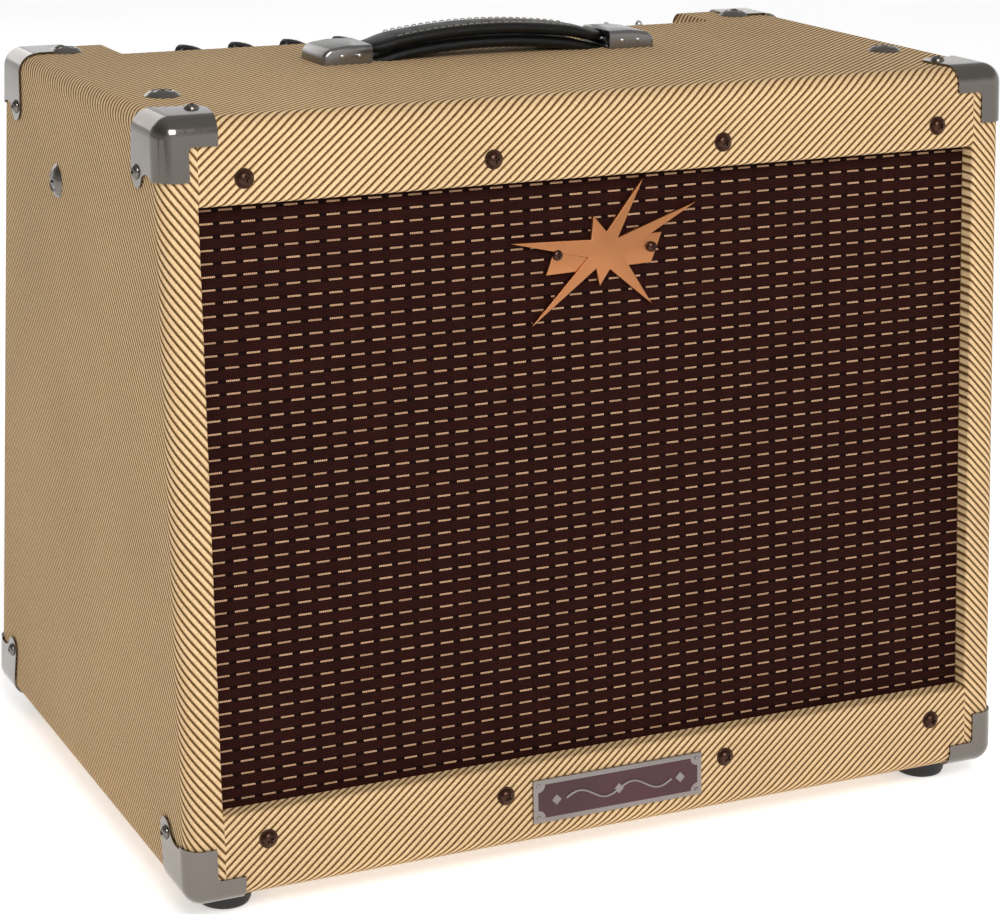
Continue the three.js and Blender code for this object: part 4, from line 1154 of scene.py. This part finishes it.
def add_inside():
    for node, material, width, slot, degrees in (
        ("baffle_board", plywood, 0.8, "plywood", 40),
        ("chassis", plated, 0.5, "chrome", 60),
        ("control_panel", plated, 0.5, "chrome", 60),
        ("mains_inlet", bakelite, 0.5, "bakelite", 60),
        ("tube_guard", steel, 0.3, "guard_steel", 60),
        ("reverb_tank", steel, 0.8, "guard_steel", 60),
        ("power_transformer", black_paint, 1.2, "iron", 60),
        ("output_transformer", black_paint, 1.2, "iron", 60),
        ("speaker_basket", black_paint, 0.4, "iron", 60),
        ("speaker_magnet", black_paint, 0.8, "iron", 50),
        ("speaker_cone", paper, 0.2, "paper", 80),
        ("speaker_lead", wire_skin, 0.1, "lead", 80),
    ):
        body = node if node == "speaker_cone" else "cabinet"
        softened(node, material, width, body, degrees=degrees)
    add_tubes()
    add_windings()


def add_tubes():
    tubes = [f"power_tube_{i}" for i in range(1, 5)] + [f"preamp_tube_{i}" for i in range(1, 4)]
    for node in tubes:
        low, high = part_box(node)
        length, r = (high.z - low.z) / MM, (high.x - low.x) / 2 / MM
        flip = over_middle(low, high, high.z) @ turned(math.pi, "X")
        shell = bmesh.new()
        wall = [(0, 0.4), (r - 0.3, 0.4), (r, 2), (r, length - 15), (r - 1.6, length - 10.5)]
        tip = [(4.4, length - 6.5), (3.2, length - 4), (2.2, length - 1), (0, length)]
        stamp(shell, revolve(wall + tip, 36), flip)
        piece(f"{node}_glass", shell, glass, "cabinet", (node,), 50)
        core = bmesh.new()
        plate = block((r * 1.25, r * 0.75, length * 0.52), 0.8, 2)
        stamp(core, plate, flip @ at(0, 0, length * 0.42 * MM))
        for z in (0.15, 0.7):
            disc = revolve([(0, 0), (r * 0.8, 0), (r * 0.8, 0.6), (0, 0.6)], 24)
            stamp(core, disc, flip @ at(0, 0, length * z * MM), 1)
        turns = [2 * math.pi * k / 16 for k in range(16)]
        ring = [Vector((4 * math.cos(t), 4 * math.sin(t), length * 0.76)) * MM for t in turns]
        stamp(core, sweep(ring, 0.4, 6), flip, 0)
        piece(f"{node}_plates", core, [getter, white_paint], "cabinet")


def add_windings():
    """Paper-wrapped windings that show on both faces of each transformer, and core bolts."""
    for node in ("power_transformer", "output_transformer"):
        low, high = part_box(node)
        x, y = (low.x + high.x) / 2, (low.y + high.y) / 2
        width, depth, height = ((high.x - low.x) / MM - 16), (high.y - low.y) / MM, (high.z - low.z) / MM
        wrap = block((width * 2 / 3 + 0.8, depth + 0.6, height * 0.6), 3.5, 4)
        bmesh.ops.translate(wrap, vec=(x, y, high.z - height / 2 * MM), verts=wrap.verts)
        for sx, sz in ((-1, 0.1), (-1, 0.9), (1, 0.1), (1, 0.9)):
            spot = Vector((x + sx * (width / 2 - 5) * MM, y + depth / 3 * MM, high.z - height * sz * MM))
            stamp(wrap, PROTOTYPES["small"], Matrix.Translation(spot) @ turned(-QUARTER, "X"), 1)
        piece(f"{node}_winding", wrap, [red_board, steel], "cabinet")


def add_feet():
    for end in ("front", "rear"):
        for side in ("left", "right"):
            node = f"foot_{end}_{side}"
            low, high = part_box(node)
            r, h = (high.x - low.x) / 2 / MM, (high.z - low.z) / MM
            centre = over_middle(low, high, 0)
            sole = [(0, 2.2), (4.5, 2.2), (5.5, 0.2), (r - 3.6, 0), (r - 2, 0.8)]
            profile = sole + [(r - 1, 3), (r, h - 1.2), (r - 0.5, h), (0, h)]
            foot = bmesh.new()
            stamp(foot, revolve(profile, 40), centre)
            flip = centre @ at(0, 0, 2.3 * MM) @ turned(math.pi, "X")
            stamp(foot, PROTOTYPES["small"], flip, 1)
            piece(f"{node}_pad", foot, [rubber, steel], "cabinet", (node,), 40)


# ---------------------------------------------------------------- camera, light and floor

CAMERA_PLACE = Vector((-0.6928, -1.4601, 0.6684))
CAMERA_YAW, CAMERA_PITCH, CAMERA_ROLL = math.radians(24.209), math.radians(14.776), math.radians(0.326)
LENS, SHIFT = 97.494, (0.0724, -0.0877)


def set_camera():
    data = bpy.data.cameras.new("camera")
    camera = new_object("camera", data)
    yaw, pitch, roll = CAMERA_YAW, CAMERA_PITCH, CAMERA_ROLL
    ahead = Vector((math.sin(yaw) * math.cos(pitch), math.cos(yaw) * math.cos(pitch), -math.sin(pitch)))
    level = Vector((math.cos(yaw), -math.sin(yaw), 0))
    over = level.cross(ahead)
    right = level * math.cos(roll) + over * math.sin(roll)
    up = over * math.cos(roll) - level * math.sin(roll)
    camera.matrix_world = Matrix.Translation(CAMERA_PLACE) @ Matrix((right, up, -ahead)).transposed().to_4x4()
    data.sensor_width = 36
    data.lens = LENS
    data.shift_x, data.shift_y = SHIFT
    data.clip_start, data.clip_end = 0.05, 60
    bpy.context.scene.camera = camera


def area_light(name, place, target, size, power):
    data = bpy.data.lights.new(name, "AREA")
    data.shape = "RECTANGLE"
    data.size, data.size_y = size
    data.energy = power
    light = new_object(name, data)
    light.location = place
    light.rotation_euler = (Vector(target) - Vector(place)).to_track_quat("-Z", "Y").to_euler()


def set_studio():
    world = bpy.data.worlds.new("studio")
    bpy.context.scene.world = world
    world.use_nodes = True
    tree = world.node_tree
    ahead = tree.nodes.new("ShaderNodeTexCoord").outputs["Generated"]
    parts = tree.nodes.new("ShaderNodeSeparateXYZ")
    tree.links.new(ahead, parts.inputs[0])
    levels = []
    for part, start, stop, low, high in ((2, 0.12, 0.45, 1.0, 0.46), (0, -0.75, -0.1, 0.45, 1.0)):
        fade = tree.nodes.new("ShaderNodeMapRange")
        tree.links.new(parts.outputs[part], fade.inputs[0])
        for socket, value in zip(fade.inputs[1:5], (start, stop, low, high)):
            socket.default_value = value
        levels.append(fade.outputs[0])
    product = tree.nodes.new("ShaderNodeMath")
    product.operation = "MULTIPLY"
    for level, socket in zip(levels, product.inputs):
        tree.links.new(level, socket)
    background = tree.nodes["Background"]
    background.inputs[0].default_value = (1, 1, 1, 1)
    tree.links.new(product.outputs[0], background.inputs[1])
    bpy.context.scene.view_settings.view_transform = "Standard"
    area_light("key", (-0.4, -1.8, 1.6), (-0.05, 0, 0.36), (1.1, 0.8), 30)
    area_light("back", (-0.6, 2.8, 1.4), (0, 0, 0.2), (2.0, 1.4), 10)
    floor = bmesh.new()
    bmesh.ops.create_grid(floor, x_segments=2, y_segments=2, size=12)
    look = Look("pale_floor", Roughness=0.8, Specular_IOR_Level=0.05, Emission_Strength=0.5)
    look.shader.inputs["Emission Color"].default_value = (1, 1, 1, 1)
    look.colour(look.mix(look.noise(3.0), rgb(250, 250, 250), rgb(255, 255, 255)))
    ground = piece("floor", floor, look.material, None)


# ---------------------------------------------------------------- everything in place

set_camera()
set_studio()
cover_cabinet()
cover_back()
add_grille()
add_inside()
add_corners()
add_screws()
add_badge()
add_plate()
add_handle()
add_knobs()
add_dial_marks()
add_switches()
add_feet()
